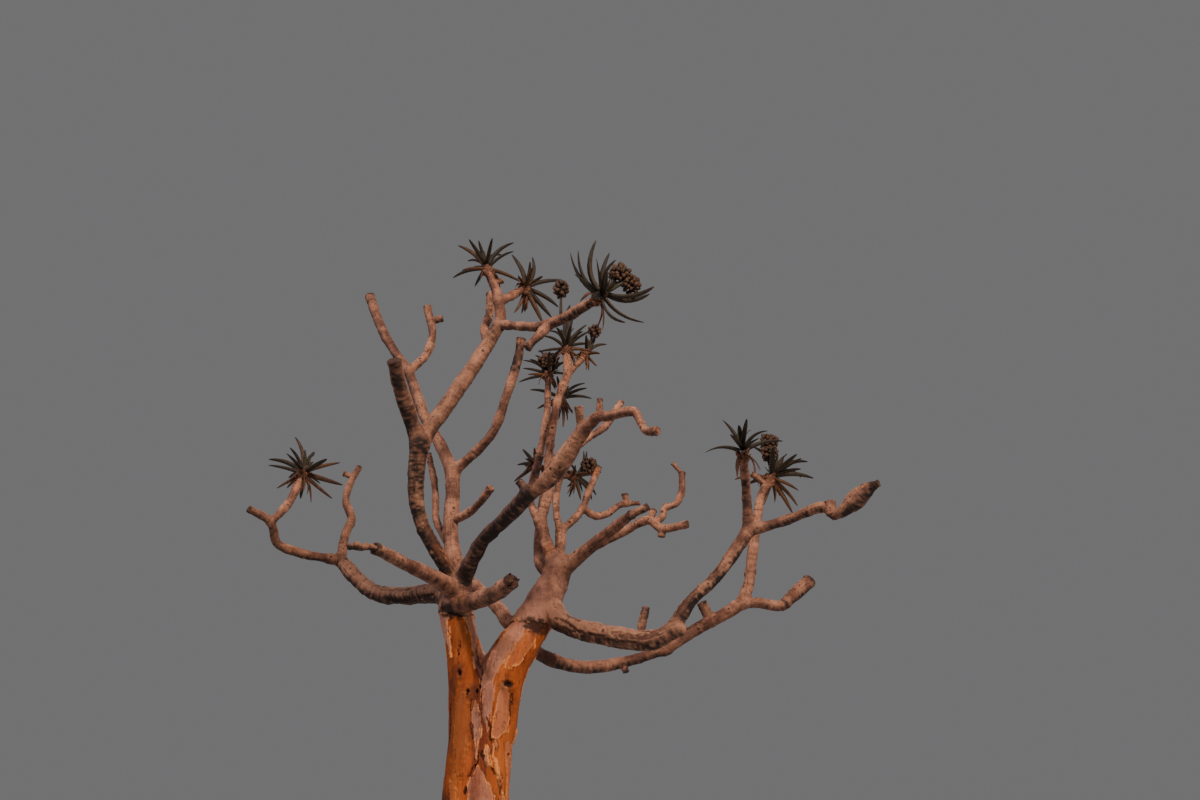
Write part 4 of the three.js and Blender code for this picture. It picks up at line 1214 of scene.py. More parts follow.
def lay_warts(relief, tube):
    """Warts where fine noise is high, some of them dark."""
    warts = smoothstep(*WART["levels"], WARTS.over(tube.points)) * tube.clear
    relief.height += warts * WART["height"]
    relief.darken(warts * WART["dark"] * smoothstep(*WART["spread"], DARK_WARTS.over(tube.points)))


def lay_ledges(relief, tube, torn):
    """Ledges: plates of old bark where drawn-out noise is above a level, more of them where the limb's
    tone asks for more."""
    ledges = tube.tone.get("ledges", LEDGE["share"])
    value = LEDGES.over(torn, tube.index) + LEDGE["bias"] + LEDGE["gain"] * (ledges - 0.5)
    weight = tube.clear * np.clip(ledges * LEDGE["weight"], 0, 1)
    relief.plate(value * LEDGE["depth"], weight, 1.0, LEDGE["height"] * ledges)


def lay_knots(relief, tube, dice):
    """Knots at random places: a round swelling with a dark pit."""
    for _ in range(int(tube.length / KNOTS["every"])):
        place = dice.uniform(*KNOTS["places"]) * tube.length
        angle = dice.uniform(0, TURN)
        size = KNOTS["least"] + KNOTS["spread"] * dice.random() ** 2
        around = (tube.turn - angle + math.pi) % TURN - math.pi
        away = np.hypot(tube.walk - tube.line.walk[0] - place, around * tube.radius) / size
        bump = bell(away, KNOTS["swell"]) - KNOTS["pit_depth"] * bell(away, KNOTS["pit"])
        relief.height += tube.clear * KNOTS["height"] * size * bump
        relief.darken(tube.clear * KNOTS["dark"] * smoothstep(*KNOTS["fade"], away))


def lay_peels(relief, tube, torn):
    """Fresh bark laid bare where noise is above zero, in the shares of the limb that its tone names."""
    fresh = -PEEL["bias"] + 0 * tube.share
    for start, stop in tube.tone.get("gold", []):
        fresh += PEEL["bias"] * between(tube.share, start, stop, PEEL["fade"], 0)
    peel = (PEELS.over(torn, tube.index) + fresh) * PEEL["slope"]
    bare = smoothstep(0, PEEL["edge"], peel) * tube.clear
    relief.height -= bare * PEEL["depth"]
    relief.outer -= bare * PEEL["fresh"]
    relief.darken(bell(peel, PEEL["rim_width"]) * PEEL["rim_dark"] * tube.clear)


def between(share, start, stop, outside, within):
    """1 between start and stop, with ramps that begin outside them and end within."""
    return (smoothstep(start - outside, start + within, share)
            * smoothstep(stop + outside, stop - within, share))


def lay_rifts(relief, tube):
    """The rifts that the photo shows on a limb's front."""
    routes = RIFTS.get(tube.name, [])
    if routes:
        front = smoothstep(*LIMB_FRONTAL, tube.way[:, 1]) * tube.clear
        ragged = tube.points + shards(tube.points, *RIFT["shards"]) * RIFT["stray"]
        for route in routes:
            relief.rift(inside(ragged, route), front)


def lay_bands(relief, tube):
    """The dark bands round a limb that its tone names."""
    if not tube.stub:
        depths = BAND["share"] + BAND_DEPTH.over(tube.points)
        for start, stop, depth in tube.tone.get("bands", []):
            relief.darken(between(tube.share, start, stop, BAND["fade"], BAND["fade"]) * depth * depths)


def lay_dark_and_shade(relief, tube):
    """Darkening that changes from root to tip, partly the limb's own tone and partly painted shade, deepens
    with painted shade under the limb and breaks up into spots.
    """
    root, tip = tube.tone.get("stub", STUB_TONE) if tube.stub else tube.tone.get("dark_and_shade", (0, 0))
    # painted shade on the limb's underside
    under = smoothstep(*PAINTED_UNDER_SHADE["levels"], tube.way[:, 2]) * PAINTED_UNDER_SHADE["dark"]
    spots = SPOT_SHARE + SPOTS.over(tube.points) + FLOW_SPOTS.over(tube.flow)
    relief.darken((root + (tip - root) * tube.share + under) * spots)


def lay_break(relief, tube):
    """A dead end: rough wood near it and a dark rim."""
    rough = smoothstep(DEAD["reach"], DEAD["full"], tube.left)
    relief.height += rough * SPLINTERS.over(tube.points)
    end = smoothstep(DEAD["rim"], DEAD["rim_full"], tube.left + DEAD_EDGE.over(tube.points))
    relief.darken(DEAD["dark"] * end)


class Value:
    """One output of a shader node. Sums and products with outputs or numbers are math nodes."""

    def __init__(self, wires, socket):
        self.wires = wires
        self.socket = socket

    def math(self, operation, other=0.0):
        """The value through a math node, with another value or number."""
        return self.wires.node("ShaderNodeMath", {0: self, 1: other}, 0, operation=operation)

    def beside(self, label):
        """Another output of the same node."""
        return Value(self.wires, self.socket.node.outputs[label])

    def __add__(self, other):
        return self.math("ADD", other)

    def __sub__(self, other):
        return self.math("SUBTRACT", other)

    def __mul__(self, other):
        return self.math("MULTIPLY", other)


class Wires:
    """Short ways to add nodes to a tree. Each gives the new node's output as a Value."""

    def __init__(self, tree):
        self.tree = tree

    def feed(self, socket, value):
        """Joins an output to a socket, or sets the socket to a plain value."""
        if isinstance(value, Value):
            self.tree.links.new(value.socket, socket)
        else:
            socket.default_value = value

    def node(self, kind, inputs, output, **settings):
        """Adds a node of a kind with its inputs and settings, and gives the named output."""
        node = self.tree.nodes.new(kind)
        for setting, value in settings.items():
            setattr(node, setting, value)
        for socket, value in inputs.items():
            self.feed(node.inputs[socket], value)
        return Value(self, node.outputs[output])

    def mix(self, share, first, second):
        """A colour that runs from the first to the second with the share."""
        factor, a, b, mixed = 0, 6, 7, 2
        return self.node("ShaderNodeMix", {factor: share, a: first, b: second}, mixed, data_type="RGBA",
                         clamp_factor=True)

    def noise(self, place, scale, detail=4.0, rough=0.6):
        """Noise at a place, 0 to 1."""
        return self.node("ShaderNodeTexNoise", {
            "Vector": place, "Scale": scale, "Detail": detail, "Roughness": rough}, "Fac")

    def drawn(self, place, scale, detail=4.0, rough=0.6):
        """Noise drawn out on three axes by a scale for each."""
        stretched = self.node("ShaderNodeMapping", {"Scale": scale, "Vector": place}, "Vector")
        return self.noise(stretched, 1.0, detail, rough)

    def step(self, value, low, high):
        """Runs from 0 at low to 1 at high along 3t^2 - 2t^3."""
        return self.node("ShaderNodeMapRange", {"Value": value, "From Min": low, "From Max": high}, "Result",
                         interpolation_type="SMOOTHSTEP", clamp=True)


SOCKETS = dict(color="NodeSocketColor", float="NodeSocketFloat", vector="NodeSocketVector")


def colour_group(name, places, numbers, colours):
    """An empty shader group: it takes places, numbers and colours by name, and puts out a colour, a
    roughness and a height. Returns its tree's wires, its inputs and its sink."""
    group = bpy.data.node_groups.new(name, "ShaderNodeTree")
    for label in places:
        group.interface.new_socket(label, in_out="INPUT", socket_type=SOCKETS["vector"])
    for label, value in numbers.items():
        group.interface.new_socket(label, in_out="INPUT", socket_type=SOCKETS["float"]).default_value = value
    for label in colours:
        group.interface.new_socket(label, in_out="INPUT", socket_type=SOCKETS["color"])
    for label, kind in (("Color", "color"), ("Roughness", "float"), ("Height", "float")):
        group.interface.new_socket(label, in_out="OUTPUT", socket_type=SOCKETS[kind])
    wires = Wires(group)
    source = group.nodes.new("NodeGroupInput")
    give = {socket.name: Value(wires, socket) for socket in source.outputs if socket.name}
    return wires, give, group.nodes.new("NodeGroupOutput").inputs


def bark_group():
    """Bark: old bark runs from a dusky to a pale grey with its height, which paints shade on low relief and
    highlight on high relief, and with a mottle; fresh bark runs from rust to gold in long streaks and with
    its height, and takes a painted highlight on its ridges; a mask mixes them by age, another lays pale lips,
    partly painted highlight, and a last one darkens. Fibres and cracks run along the limb and wrinkles across
    it, all from noise drawn out on its flow; the dark in the cracks and wrinkles is painted shade."""
    numbers = dict(Outer=1.0, Dark=0.0, Lip=0.0, High=0.5, Flecks=0.5, Cracks=0.5, Wrinkles=0.5)
    colours = ("Pale", "Dusk", "Gold", "Rust", "DarkAndShade", "Edge")
    w, give, sink = colour_group("bark_colours", ("Place", "Flow"), numbers, colours)
    place, flow, high = give["Place"], give["Flow"], give["High"]
    broad = w.noise(place, scale=6.0, rough=0.5)
    fine = w.noise(place, scale=55.0, detail=6.0, rough=0.65)
    mottle = w.noise(place, scale=21.0, detail=5.0, rough=0.62)
    streaks = w.drawn(flow, (13, 13, 2.0), detail=5.0, rough=0.62)
    fibres = w.drawn(flow, (90, 90, 11))
    folds = w.drawn(flow, (9, 9, 62))
    seams = w.drawn(flow, (24, 24, 3.4), rough=0.55)
    stain = w.step(w.drawn(flow, (7, 7, 2.4), detail=5.0), 0.5, 0.68)

    ringed = w.step(give["Outer"], 0.75, 0.95) * give["Wrinkles"]
    wrinkle = w.step(folds, 0.54, 0.66) * ringed
    line = w.step((seams - 0.5).math("ABSOLUTE"), 0.012, 0.002)
    crack = line * w.step(broad, 0.46, 0.6) * give["Cracks"]
    dots = w.node("ShaderNodeTexVoronoi", {"Vector": place, "Scale": 40.0}, "Distance")
    sparse = w.step(w.noise(place, scale=11.0, detail=3.0, rough=0.5), 0.44, 0.56)
    fleck = w.step(dots, 0.3, 0.16) * sparse * give["Flecks"]

    # Painted shade and highlight: old bark is dusky where the relief is low and pale where it is high, with a
    # mottle
    rise = high + (broad - 0.5) + (mottle - 0.5) * 0.9 + (fibres - 0.5) * 0.7 + (folds - 0.5) * (ringed * 0.8)
    old = w.mix(w.step(rise, 0.1, 0.9), give["Dusk"], give["Pale"])
    # Painted highlight: fresh bark turns from rust to gold and towards the Edge colour on its ridges, as well
    # as along its streaks
    ridge_light_and_streaks = high * 0.45 + streaks * 0.85 + (fibres - 0.5) * 0.5
    fresh = w.mix(w.step(ridge_light_and_streaks, 0.38, 0.78), give["Rust"], give["Gold"])
    fresh = w.mix(w.step(ridge_light_and_streaks, 0.72, 1.0) * 0.14, fresh, give["Edge"])
    fresh = w.mix(stain * 0.5, fresh, give["Rust"])
    both = w.mix(give["Outer"], fresh, old)
    both = w.mix(give["Lip"] * 0.6, both, give["Edge"])
    # Darkening: the piece's dark mask, the flecks, and painted shade in the wrinkles and cracks
    dark = give["Dark"].math("MAXIMUM", fleck.math("MAXIMUM", wrinkle * 0.6))
    dark = dark.math("MAXIMUM", crack * 0.85).math("MINIMUM", 1.0)
    rough = fine + w.noise(place, scale=170.0, rough=0.7) * 0.45 + fibres * 0.7
    w.feed(sink["Color"], w.mix(dark, both, give["DarkAndShade"]))
    w.feed(sink["Roughness"], fine * 0.35 + 0.6)
    w.feed(sink["Height"], rough - fleck * 0.5 - crack * 1.2 - wrinkle * 0.6)
    return w.tree


def husk_group():
    """Leaves and husks: an upper and an under colour, mixed by a mask, mottled by noise, dulled towards
    the tip and shaded piece by piece."""
    w, give, sink = colour_group("husk_colours", ("Place",), dict(Under=0.0, Along=0.0, Shade=0.5),
                                 ("Top", "Below", "Tip", "Mottle"))
    blotch = w.noise(give["Place"], scale=28.0)
    fine = w.noise(give["Place"], scale=160.0)
    side = w.step(give["Under"] + (blotch - 0.5) * 0.7, 0.3, 0.75)
    colour = w.mix(side, give["Top"], give["Below"])
    colour = w.mix(w.step(blotch, 0.48, 0.66) * 0.6, colour, give["Mottle"])
    colour = w.mix(w.step(give["Along"], 0.72, 1.0) * 0.8, colour, give["Tip"])
    light = give["Shade"] * 0.56 + 0.72
    w.feed(sink["Color"], w.node("ShaderNodeHueSaturation", {"Color": colour, "Value": light}, "Color"))
    w.feed(sink["Roughness"], blotch * 0.3 + 0.56)
    w.feed(sink["Height"], fine + blotch * 0.6)
    return w.tree


def material_of(name, group, marks, specular, bump, depth, values):
    """A material that takes its colour, roughness and bump from a group, on the marks of its piece."""
    material = bpy.data.materials.new(name)
    material.use_nodes = True
    w = Wires(material.node_tree)
    shader = material.node_tree.nodes["Principled BSDF"].inputs
    inputs = dict(values, Place=w.node("ShaderNodeTexCoord", {}, "Object"))
    for socket, mark in marks.items():
        kind = "Vector" if mark == "flow" else "Fac"
        inputs[socket] = w.node("ShaderNodeAttribute", {}, kind, attribute_name=mark)
    colour = w.node("ShaderNodeGroup", inputs, "Color", node_tree=group)
    relief = {"Height": colour.beside("Height"), "Strength": bump, "Distance": depth}
    w.feed(shader["Base Color"], colour)
    w.feed(shader["Roughness"], colour.beside("Roughness"))
    w.feed(shader["Specular IOR Level"], specular)
    w.feed(shader["Normal"], w.node("ShaderNodeBump", relief, "Normal"))
    return material


def tint(red, green, blue):
    """A colour given in the shares of a screen's, as the linear light that the shaders take."""
    return tuple(((c + 0.055) / 1.055) ** 2.4 if c > 0.04 else c / 12.92 for c in (red, green, blue)) + (1,)


BARK_MARKS = dict(Flow="flow", Outer="outer", Dark="dark", Lip="lip", High="high")
LEAF_MARKS = dict(Under="under", Along="along", Shade="shade")
FRUIT_MARKS = dict(Under="tip", Shade="shade")

# Each bark: the strength of its bump, the strengths of its marks and its colours. Its darkest colour is what
# every dark mark turns the bark to, real dark marks and painted shade alike
BARKS = {
    "trunk_bark": (0.6, dict(
        Flecks=0.4, Cracks=0.8, Wrinkles=0.4, Pale=tint(0.55, 0.37, 0.30), Dusk=tint(0.36, 0.22, 0.18),
        Gold=tint(0.52, 0.235, 0.05), Rust=tint(0.33, 0.12, 0.03), DarkAndShade=tint(0.09, 0.033, 0.018),
        Edge=tint(0.80, 0.50, 0.25))),
    "bough_bark": (0.95, dict(
        Flecks=0.8, Cracks=0.6, Wrinkles=0.6, Pale=tint(0.57, 0.385, 0.30), Dusk=tint(0.32, 0.19, 0.145),
        Gold=tint(0.58, 0.35, 0.22), Rust=tint(0.42, 0.23, 0.14), DarkAndShade=tint(0.11, 0.062, 0.046),
        Edge=tint(0.74, 0.55, 0.42))),
    # dark_bark is bough bark made darker for the dark bough, partly painted shade of the underside that it
    # turns to the front
    "dark_bark": (0.9, dict(
        Flecks=1.0, Cracks=0.8, Wrinkles=0.45, Pale=tint(0.50, 0.34, 0.28), Dusk=tint(0.28, 0.17, 0.14),
        Gold=tint(0.56, 0.34, 0.2), Rust=tint(0.36, 0.19, 0.11), DarkAndShade=tint(0.105, 0.062, 0.05),
        Edge=tint(0.60, 0.42, 0.33))),
}
# Leaves and fruit: the colours Top, Below, Tip and Mottle of each kind
LEAVES = {
    "young_leaf": [(0.13, 0.12, 0.05), (0.18, 0.14, 0.06), (0.15, 0.08, 0.04), (0.09, 0.08, 0.04)],
    "grown_leaf": [(0.08, 0.068, 0.038), (0.15, 0.10, 0.05), (0.11, 0.06, 0.035), (0.05, 0.04, 0.027)],
    "old_leaf": [(0.14, 0.09, 0.06), (0.28, 0.17, 0.09), (0.19, 0.09, 0.06), (0.10, 0.06, 0.04)],
    "dry_leaf": [(0.30, 0.17, 0.12), (0.34, 0.20, 0.13), (0.22, 0.11, 0.08), (0.18, 0.09, 0.07)],
}
FRUIT = [(0.17, 0.10, 0.06), (0.25, 0.15, 0.085), (0.15, 0.09, 0.06), (0.10, 0.055, 0.035)]
BARK_FINISH = dict(specular=0.18, depth=0.004)
HUSK_FINISH = dict(specular=0.25, depth=0.002)
LEAF_BUMP = 0.4
FRUIT_BUMP = 0.6


def husk_material(name, group, marks, bump, colours):
    """A leaf's or fruit's material."""
    values = {socket: tint(*colour) for socket, colour in zip(("Top", "Below", "Tip", "Mottle"), colours)}
    return material_of(name, group, marks, bump=bump, values=values, **HUSK_FINISH)


# The limbs that spring from the stems, and those that a rosette closes
STEM_CHILDREN = {name for name, limb in LIMBS.items() if limb.get("parent") in STEMS}
FOLIAGE_ENDS = {rosette["on"] for rosette in ROSETTES.values()}

# Where the stems' bark turns from the trunk's into a bough's, by level and by the gap to the stem
BARK_CHANGE = dict(level=(2.72, 2.64), gap=(0.05, 0.0))
# How dark a limb is below its rosette and from where, and the splinters of a broken end
CROWN_SHADE = dict(dark=0.85, left=(0.08, 0.04))
SPLINTERED = {"broken_arm": Layer(cell=0.022, seed=91, height=0.045)}
SPLINTER_ROOM = (0.03, -0.01)
# How far the flow of each limb's bark is shifted from the last one's, so that no two look alike
FLOW_SHIFT = 0.37
DICE_SEED = 500
# How soon relief starts where a limb comes out of another
RELIEF_START = 1.5

# The trunk's skin: how far out the search for it starts, how often and by which share it steps in
TRUNK_SEARCH = dict(reach=0.6, steps=14, share=0.9)
GROUND_FADE = 0.1

# The pieces that the skins are joined into, with the frame's nodes that each stands for
BARK_PIECES = {
    "stem_bark": ["left_stem", "right_stem"],
    "left_bough_bark": ["left_sweep", "sweep_spur", "left_reach", "reach_arm"],
    "front_arm_bark": ["front_arm"],
    "broken_arm_bark": ["broken_arm"],
    "tall_bough_bark": ["tall_bough", "tall_stub", "tall_arm", "crown_side", "crown_rear", "crown_arm"],
    "rear_bough_bark": ["cross_bough", "rear_bough", "rear_left", "rear_left_tip", "rear_left_twig",
                        "rear_right", "rear_spur", "rear_twig"],
    "dark_bough_bark": ["dark_bough"],
    "elbow_bough_bark": ["elbow_bough", "hooked_arm", "elbow_twig"],
    "right_bough_bark": ["right_bough", "right_riser", "right_post", "right_tip"],
    "low_bough_bark": ["low_bough", "low_rise", "low_post", "low_tip"],
    "fan_bough_bark": ["fan_bough", "fan_lower", "fan_hook"],
    "mid_bough_bark": ["mid_bough", "mid_post", "mid_arm", "mid_reach"],
    "shaft_bark": ["near_shaft", "left_shaft", "right_shaft", "rear_shaft"],
}
PIECE_BARKS = {"stem_bark": "trunk_bark", "dark_bough_bark": "dark_bark"}


def trunk_rays():
    """The levels of the trunk's rings, closer in its upper part, and level rays from its middle, closer
    in front."""
    above, fine = TRUNK_LEVELS["above"], TRUNK_LEVELS["fine"]
    low = np.arange(0, above - fine, TRUNK_LEVELS["coarse"])
    heights = np.concatenate([low, np.arange(above, SEAM["high"] + TRUNK_LEVELS["past"], fine)])
    turn = np.concatenate([math.pi + np.arange(TRUNK_FRONT) / TRUNK_FRONT * math.pi,
                           np.arange(TRUNK_BACK) / TRUNK_BACK * math.pi])
    return heights, np.stack([np.cos(turn), np.sin(turn), np.zeros(len(turn))], axis=1)


def trunk_skin(lines):
    """The trunk from the ground to the seam: along each ray, a point walks in from outside until its gap
    to the swollen shaft and stems is closed."""
    heights, rays = trunk_rays()
    around = len(rays)
    middle = np.stack([trunk_sizes(heights / MM)[0] * MM, 0 * heights, heights], axis=1)
    start = np.repeat(middle, around, axis=0)
    ray = np.tile(rays, (len(heights), 1))
    reach = np.full(len(start), TRUNK_SEARCH["reach"])
    for _ in range(TRUNK_SEARCH["steps"]):
        gap, way = swollen(Shaft(), trunk_family(lines), start + reach[:, None] * ray)
        reach -= gap * TRUNK_SEARCH["share"]
    points = start + reach[:, None] * ray
    relief = trunk_relief(points, way)
    marks = dict(relief.marks(), flow=points)
    height = relief.height - SEAM["dive"] * smoothstep(SEAM["middle"], SEAM["high"], points[:, 2])
    way[:, 2] *= smoothstep(0, GROUND_FADE, points[:, 2])
    points = points + height[:, None] * way
    points[:around, 2] = 0
    return np.vstack([points, middle[:1], middle[-1:]]), marks, closed_faces(len(heights), around)


def stem_share(tube, lines):
    """How far a stem's point, or that of a bough at its root, has the trunk's bark, 0 to 1."""
    share = smoothstep(*BARK_CHANGE["level"], tube.points[:, 2])
    if tube.name in STEMS:
        return share
    stem = lines[LIMBS[tube.limb]["parent"]]
    return share * smoothstep(*BARK_CHANGE["gap"], stem.gap(tube.points)[0])


def limb_skin(name, lines, partners):
    """One limb's finished skin: its tube, settled on its partners, with its relief."""
    tube = Tube(name, lines)
    tube.settle(lines, partners)
    order = list(lines).index(name)
    relief = limb_relief(tube, np.random.default_rng(DICE_SEED + order))
    height, marks = relief.height, relief.marks()
    if name in STEMS or tube.limb in STEM_CHILDREN:
        trunk = trunk_relief(tube.points, tube.way)
        share = stem_share(tube, lines)
        height = height + (trunk.height - height) * share
        marks = {mark: marks[mark] + (values - marks[mark]) * share for mark, values in trunk.marks().items()}
    if tube.closes:
        shade = CROWN_SHADE["dark"] * smoothstep(*CROWN_SHADE["left"], tube.left)
        marks["dark"] = np.maximum(marks["dark"], shade)
    marks["flow"] = tube.flow + FLOW_SHIFT * order
    points = tube.points
    if name in STEMS:
        marks["flow"] = points
        height = height - SEAM["dive"] * smoothstep(SEAM["middle"], SEAM["low"], points[:, 2])
    if name in SPLINTERED:
        teeth = SPLINTERED[name].over(points) * smoothstep(*SPLINTER_ROOM, tube.left)
        points = points + teeth[:, None] * tube.line.tangent[-1]
    points = points + (height * np.clip(tube.free * RELIEF_START, 0, 1))[:, None] * tube.way
    poles = np.stack([points[:tube.around].mean(axis=0), points[-tube.around:].mean(axis=0)])
    return np.vstack([points, poles]), marks, closed_faces(tube.rings, tube.around)


def join_skins(skins):
    """Skins laid one after another in one list of points, faces and marks. The two poles of each take
    the middle value of every mark on the rings next to them."""
    points, faces, marks = [], [], {}
    count = 0
    for skin_points, skin_marks, skin_faces in skins:
        points.append(skin_points)
        faces += [[corner + count for corner in face] for face in skin_faces]
        for mark, values in skin_marks.items():
            ends = [values[:LEAST_AROUND].mean(axis=0), values[-LEAST_AROUND:].mean(axis=0)]
            marks.setdefault(mark, []).append(np.concatenate([values, ends]))
        count += len(skin_points)
    return np.vstack(points), faces, {mark: np.concatenate(values) for mark, values in marks.items()}


def build_bark(lines):
    """The trunk's piece and the boughs' pieces, in their materials."""
    group = bark_group()
    barks = {name: material_of(name, group, BARK_MARKS, bump=bump, values=values, **BARK_FINISH)
             for name, (bump, values) in BARKS.items()}
    trunk = add_mesh("trunk_bark", *join_skins([trunk_skin(lines)]))
    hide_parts("trunk")
    trunk.data.materials.append(barks["trunk_bark"])
    partners = partners_of(lines)
    for piece, nodes in BARK_PIECES.items():
        names = [name for name in lines if limb_of(name) in nodes]
        bough = add_mesh(piece, *join_skins([limb_skin(name, lines, partners[name]) for name in names]))
        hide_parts(*nodes)
        bough.data.materials.append(barks[PIECE_BARKS.get(piece, "bough_bark")])


# A leaf's section, as (across, up) in shares of its half width and half thickness and with how far it
# belongs to the under side, and its rings along it
LEAF_SECTION = [(1, 0.8, 0.5), (0, -0.2, 0), (-1, 0.8, 0.5), (-0.72, -0.45, 1), (0, -1, 1), (0.72, -0.45, 1)]
LEAF_RINGS = np.array([0, 0.09, 0.2, 0.32, 0.45, 0.58, 0.7, 0.81, 0.91, 0.98])
LEAF_HALF_WIDTH = 0.027
LEAF_HALF_THICK = 0.0135
# The reach at which a leaf has its full width, and how its width goes with its reach
SLENDER = dict(reach=0.34, power=1.3, least=0.6, most=1.05)
WIDTHS = (0.92, 1.1)

# Leaf kinds, which are the slots of their tints
YOUNG, GROWN, OLD, DRY = range(4)

# The leaves of each part of a rosette. Tilts are in degrees from the axis, but in front_leaves in
# radians; sizes are shares of the rosette's reach, feet are shares of its stem below the heart, and out
# is how far a foot stands from the axis, in shares of the stem's girth
FRONT = dict(lengths=(0.84, 1.0), least_depth=0.2, foot=0.75, out=0.3, youngest=0.6, ages=1.6,
             spread_from=1.6, bows=(1.3, 0.6), bow_range=(-0.05, 0.07), old_from=1.9, old_share=0.12,
             facing=(0.5, 1.3))
HIDDEN = dict(count=30, most=5, turns=(-0.25, 0.25), tilts=(38, 88), ease=0.85, stray=(-9, 9),
              length=(0.7, 0.26, 0.04), prime=(0.2, 0.75), apart=0.6, foot=0.8, out=0.3, elbow=(0.52, 0.03),
              tip=0.97, droop=(0.06, 0.14), old_from=0.75)
HEART = dict(count=5, tilts=(10, 5), lengths=(0.26, 0.06), foot=0.012, out=0.12, elbow=(0.4, 0.15),
             facing=0.2, width=0.62)
DRY_LEAVES = dict(count=3, tilts=(118, 12), skip=1.3, foot=0.85, out=0.36, lengths=(0.35, 0.6), aim=0.7,
                  hang=0.45, elbow=0.4, width=0.6)
SCALES = dict(count=22, tilts=(35, 30), feet=(0.55, 0.75), out=0.4, lengths=(0.022, 0.045),
              elbow=(0.5, 0.1), width=0.85)

# Spent heads: how the stalks bend and taper, in metres, how close the capsules stand and how they lie
STALK = dict(top=0.7, bend=0.02, thick=(0.013, 0.006))
CAPSULE_STALK = dict(thick=(0.003, 0.0026), into=0.002)
HEAD = dict(spacing=0.031, least=10, lowest=-0.92, rise=1.84, turns=(-0.2, 0.2), sizes=(0.028, 0.040),
            places=(0.55, 0.82), lift=0.35, stray=0.15, inner=(0.6, -0.2))
CAPSULE = dict(rings=np.array([0.02, 0.16, 0.36, 0.58, 0.78, 0.92, 1.0]), around=9, ease=0.8, power=0.7,
               girth=0.42, beak=0.03, lobe=0.12)
STALK_AROUND = 6
STALK_RINGS = 5
# A direction that no stalk runs along
ASKEW = (0.31, 0.87, 0.21)
HEAD_SEED = 7


def upward(rise):
    """An arrow straight up, or down where rise is negative."""
    return np.array([0, 0, rise])


class Leaves:
    """A growing list of leaves: the root, elbow and tip of each, the way its upper side faces, its
    half width, its kind and a shade of its own."""

    def __init__(self):
        self.rows = {key: [] for key in ("root", "elbow", "tip", "facing", "width", "kind", "shade")}

    def add(self, **row):
        """Adds one leaf."""
        for key, value in row.items():
            self.rows[key].append(value)

    def paths(self, shares):
        """Points of each leaf's middle, (1-t)^2 root + 2t(1-t) elbow + t^2 tip, and their tangents."""
        root, elbow, tip = (np.array(self.rows[key])[:, None] for key in ("root", "elbow", "tip"))
        t = np.asarray(shares)[None, :, None]
        path = (1 - t) ** 2 * root + 2 * t * (1 - t) * elbow + t**2 * tip
        return path, unit((1 - t) * (elbow - root) + t * (tip - elbow))

    def shapes(self):
        """Each leaf as a tube with a channelled section, half width w (0.85 + 0.7t)(1 - t)^0.6 and half
        thickness h (1 - t)^0.5 along it. Returns grids and marks."""
        path, tangent = self.paths(LEAF_RINGS)
        across = unit(np.cross(np.array(self.rows["facing"])[:, None], tangent))
        up = np.cross(tangent, across)
        t = LEAF_RINGS[None, :, None, None]
        width = np.array(self.rows["width"])[:, None, None, None] * (0.85 + 0.7 * t) * (1 - t) ** 0.6
        thick = LEAF_HALF_THICK * (1 - t) ** 0.5 * np.minimum(1, width / LEAF_HALF_WIDTH)
        section = np.array(LEAF_SECTION, float)
        sides = section[None, None, :, :1] * width * across[:, :, None]
        grid = path[:, :, None] + sides + section[None, None, :, 1:2] * thick * up[:, :, None]
        shape = grid.shape[:3]
        along_leaf = np.broadcast_to(LEAF_RINGS[None, :, None], shape)
        shade = np.broadcast_to(np.array(self.rows["shade"])[:, None, None], shape)
        return grid, dict(under=np.broadcast_to(section[:, 2], shape), along=along_leaf, shade=shade)


def many_tubes(grid, marks):
    """Closed tubes side by side in one mesh: each has its grid of rings and two poles, at the middles
    of its first and last ring."""
    count, rings, around = grid.shape[:3]
    poles = grid[:, [0, -1]].mean(axis=2)
    points = np.concatenate([grid.reshape(count, -1, 3), poles], axis=1).reshape(-1, 3)
    size = rings * around + 2
    faces = closed_faces(rings, around)
    every = [[corner + k * size for corner in face] for k in range(count) for face in faces]
    flat = {}
    for mark, values in marks.items():
        values = np.asarray(values, float).reshape(count, -1)
        flat[mark] = np.concatenate([values, values[:, :1], values[:, -1:]], axis=1).ravel()
    return points, every, flat


def slender(length):
    """A leaf's half width: it grows a little faster than the leaf's length."""
    share = (length / SLENDER["reach"]) ** SLENDER["power"]
    return LEAF_HALF_WIDTH * np.clip(share, SLENDER["least"], SLENDER["most"])


def aim_of(axis, tilt, turn):
    """A direction tilted away from an axis and turned about it, and the way out from the axis."""
    first = unit(np.cross([0, 1, 0], axis))
    second = np.cross(axis, first)
    out = math.cos(turn) * first + math.sin(turn) * second
    return math.cos(tilt) * axis + math.sin(tilt) * out, out


def foot_of(crown, below, aside):
    """A leaf's root, a share of the stem below the heart and a share of its girth aside along a way."""
    share, out = aside
    return crown["heart"] - crown["axis"] * ROSETTE_STEM * below + out * share * crown["girth"]


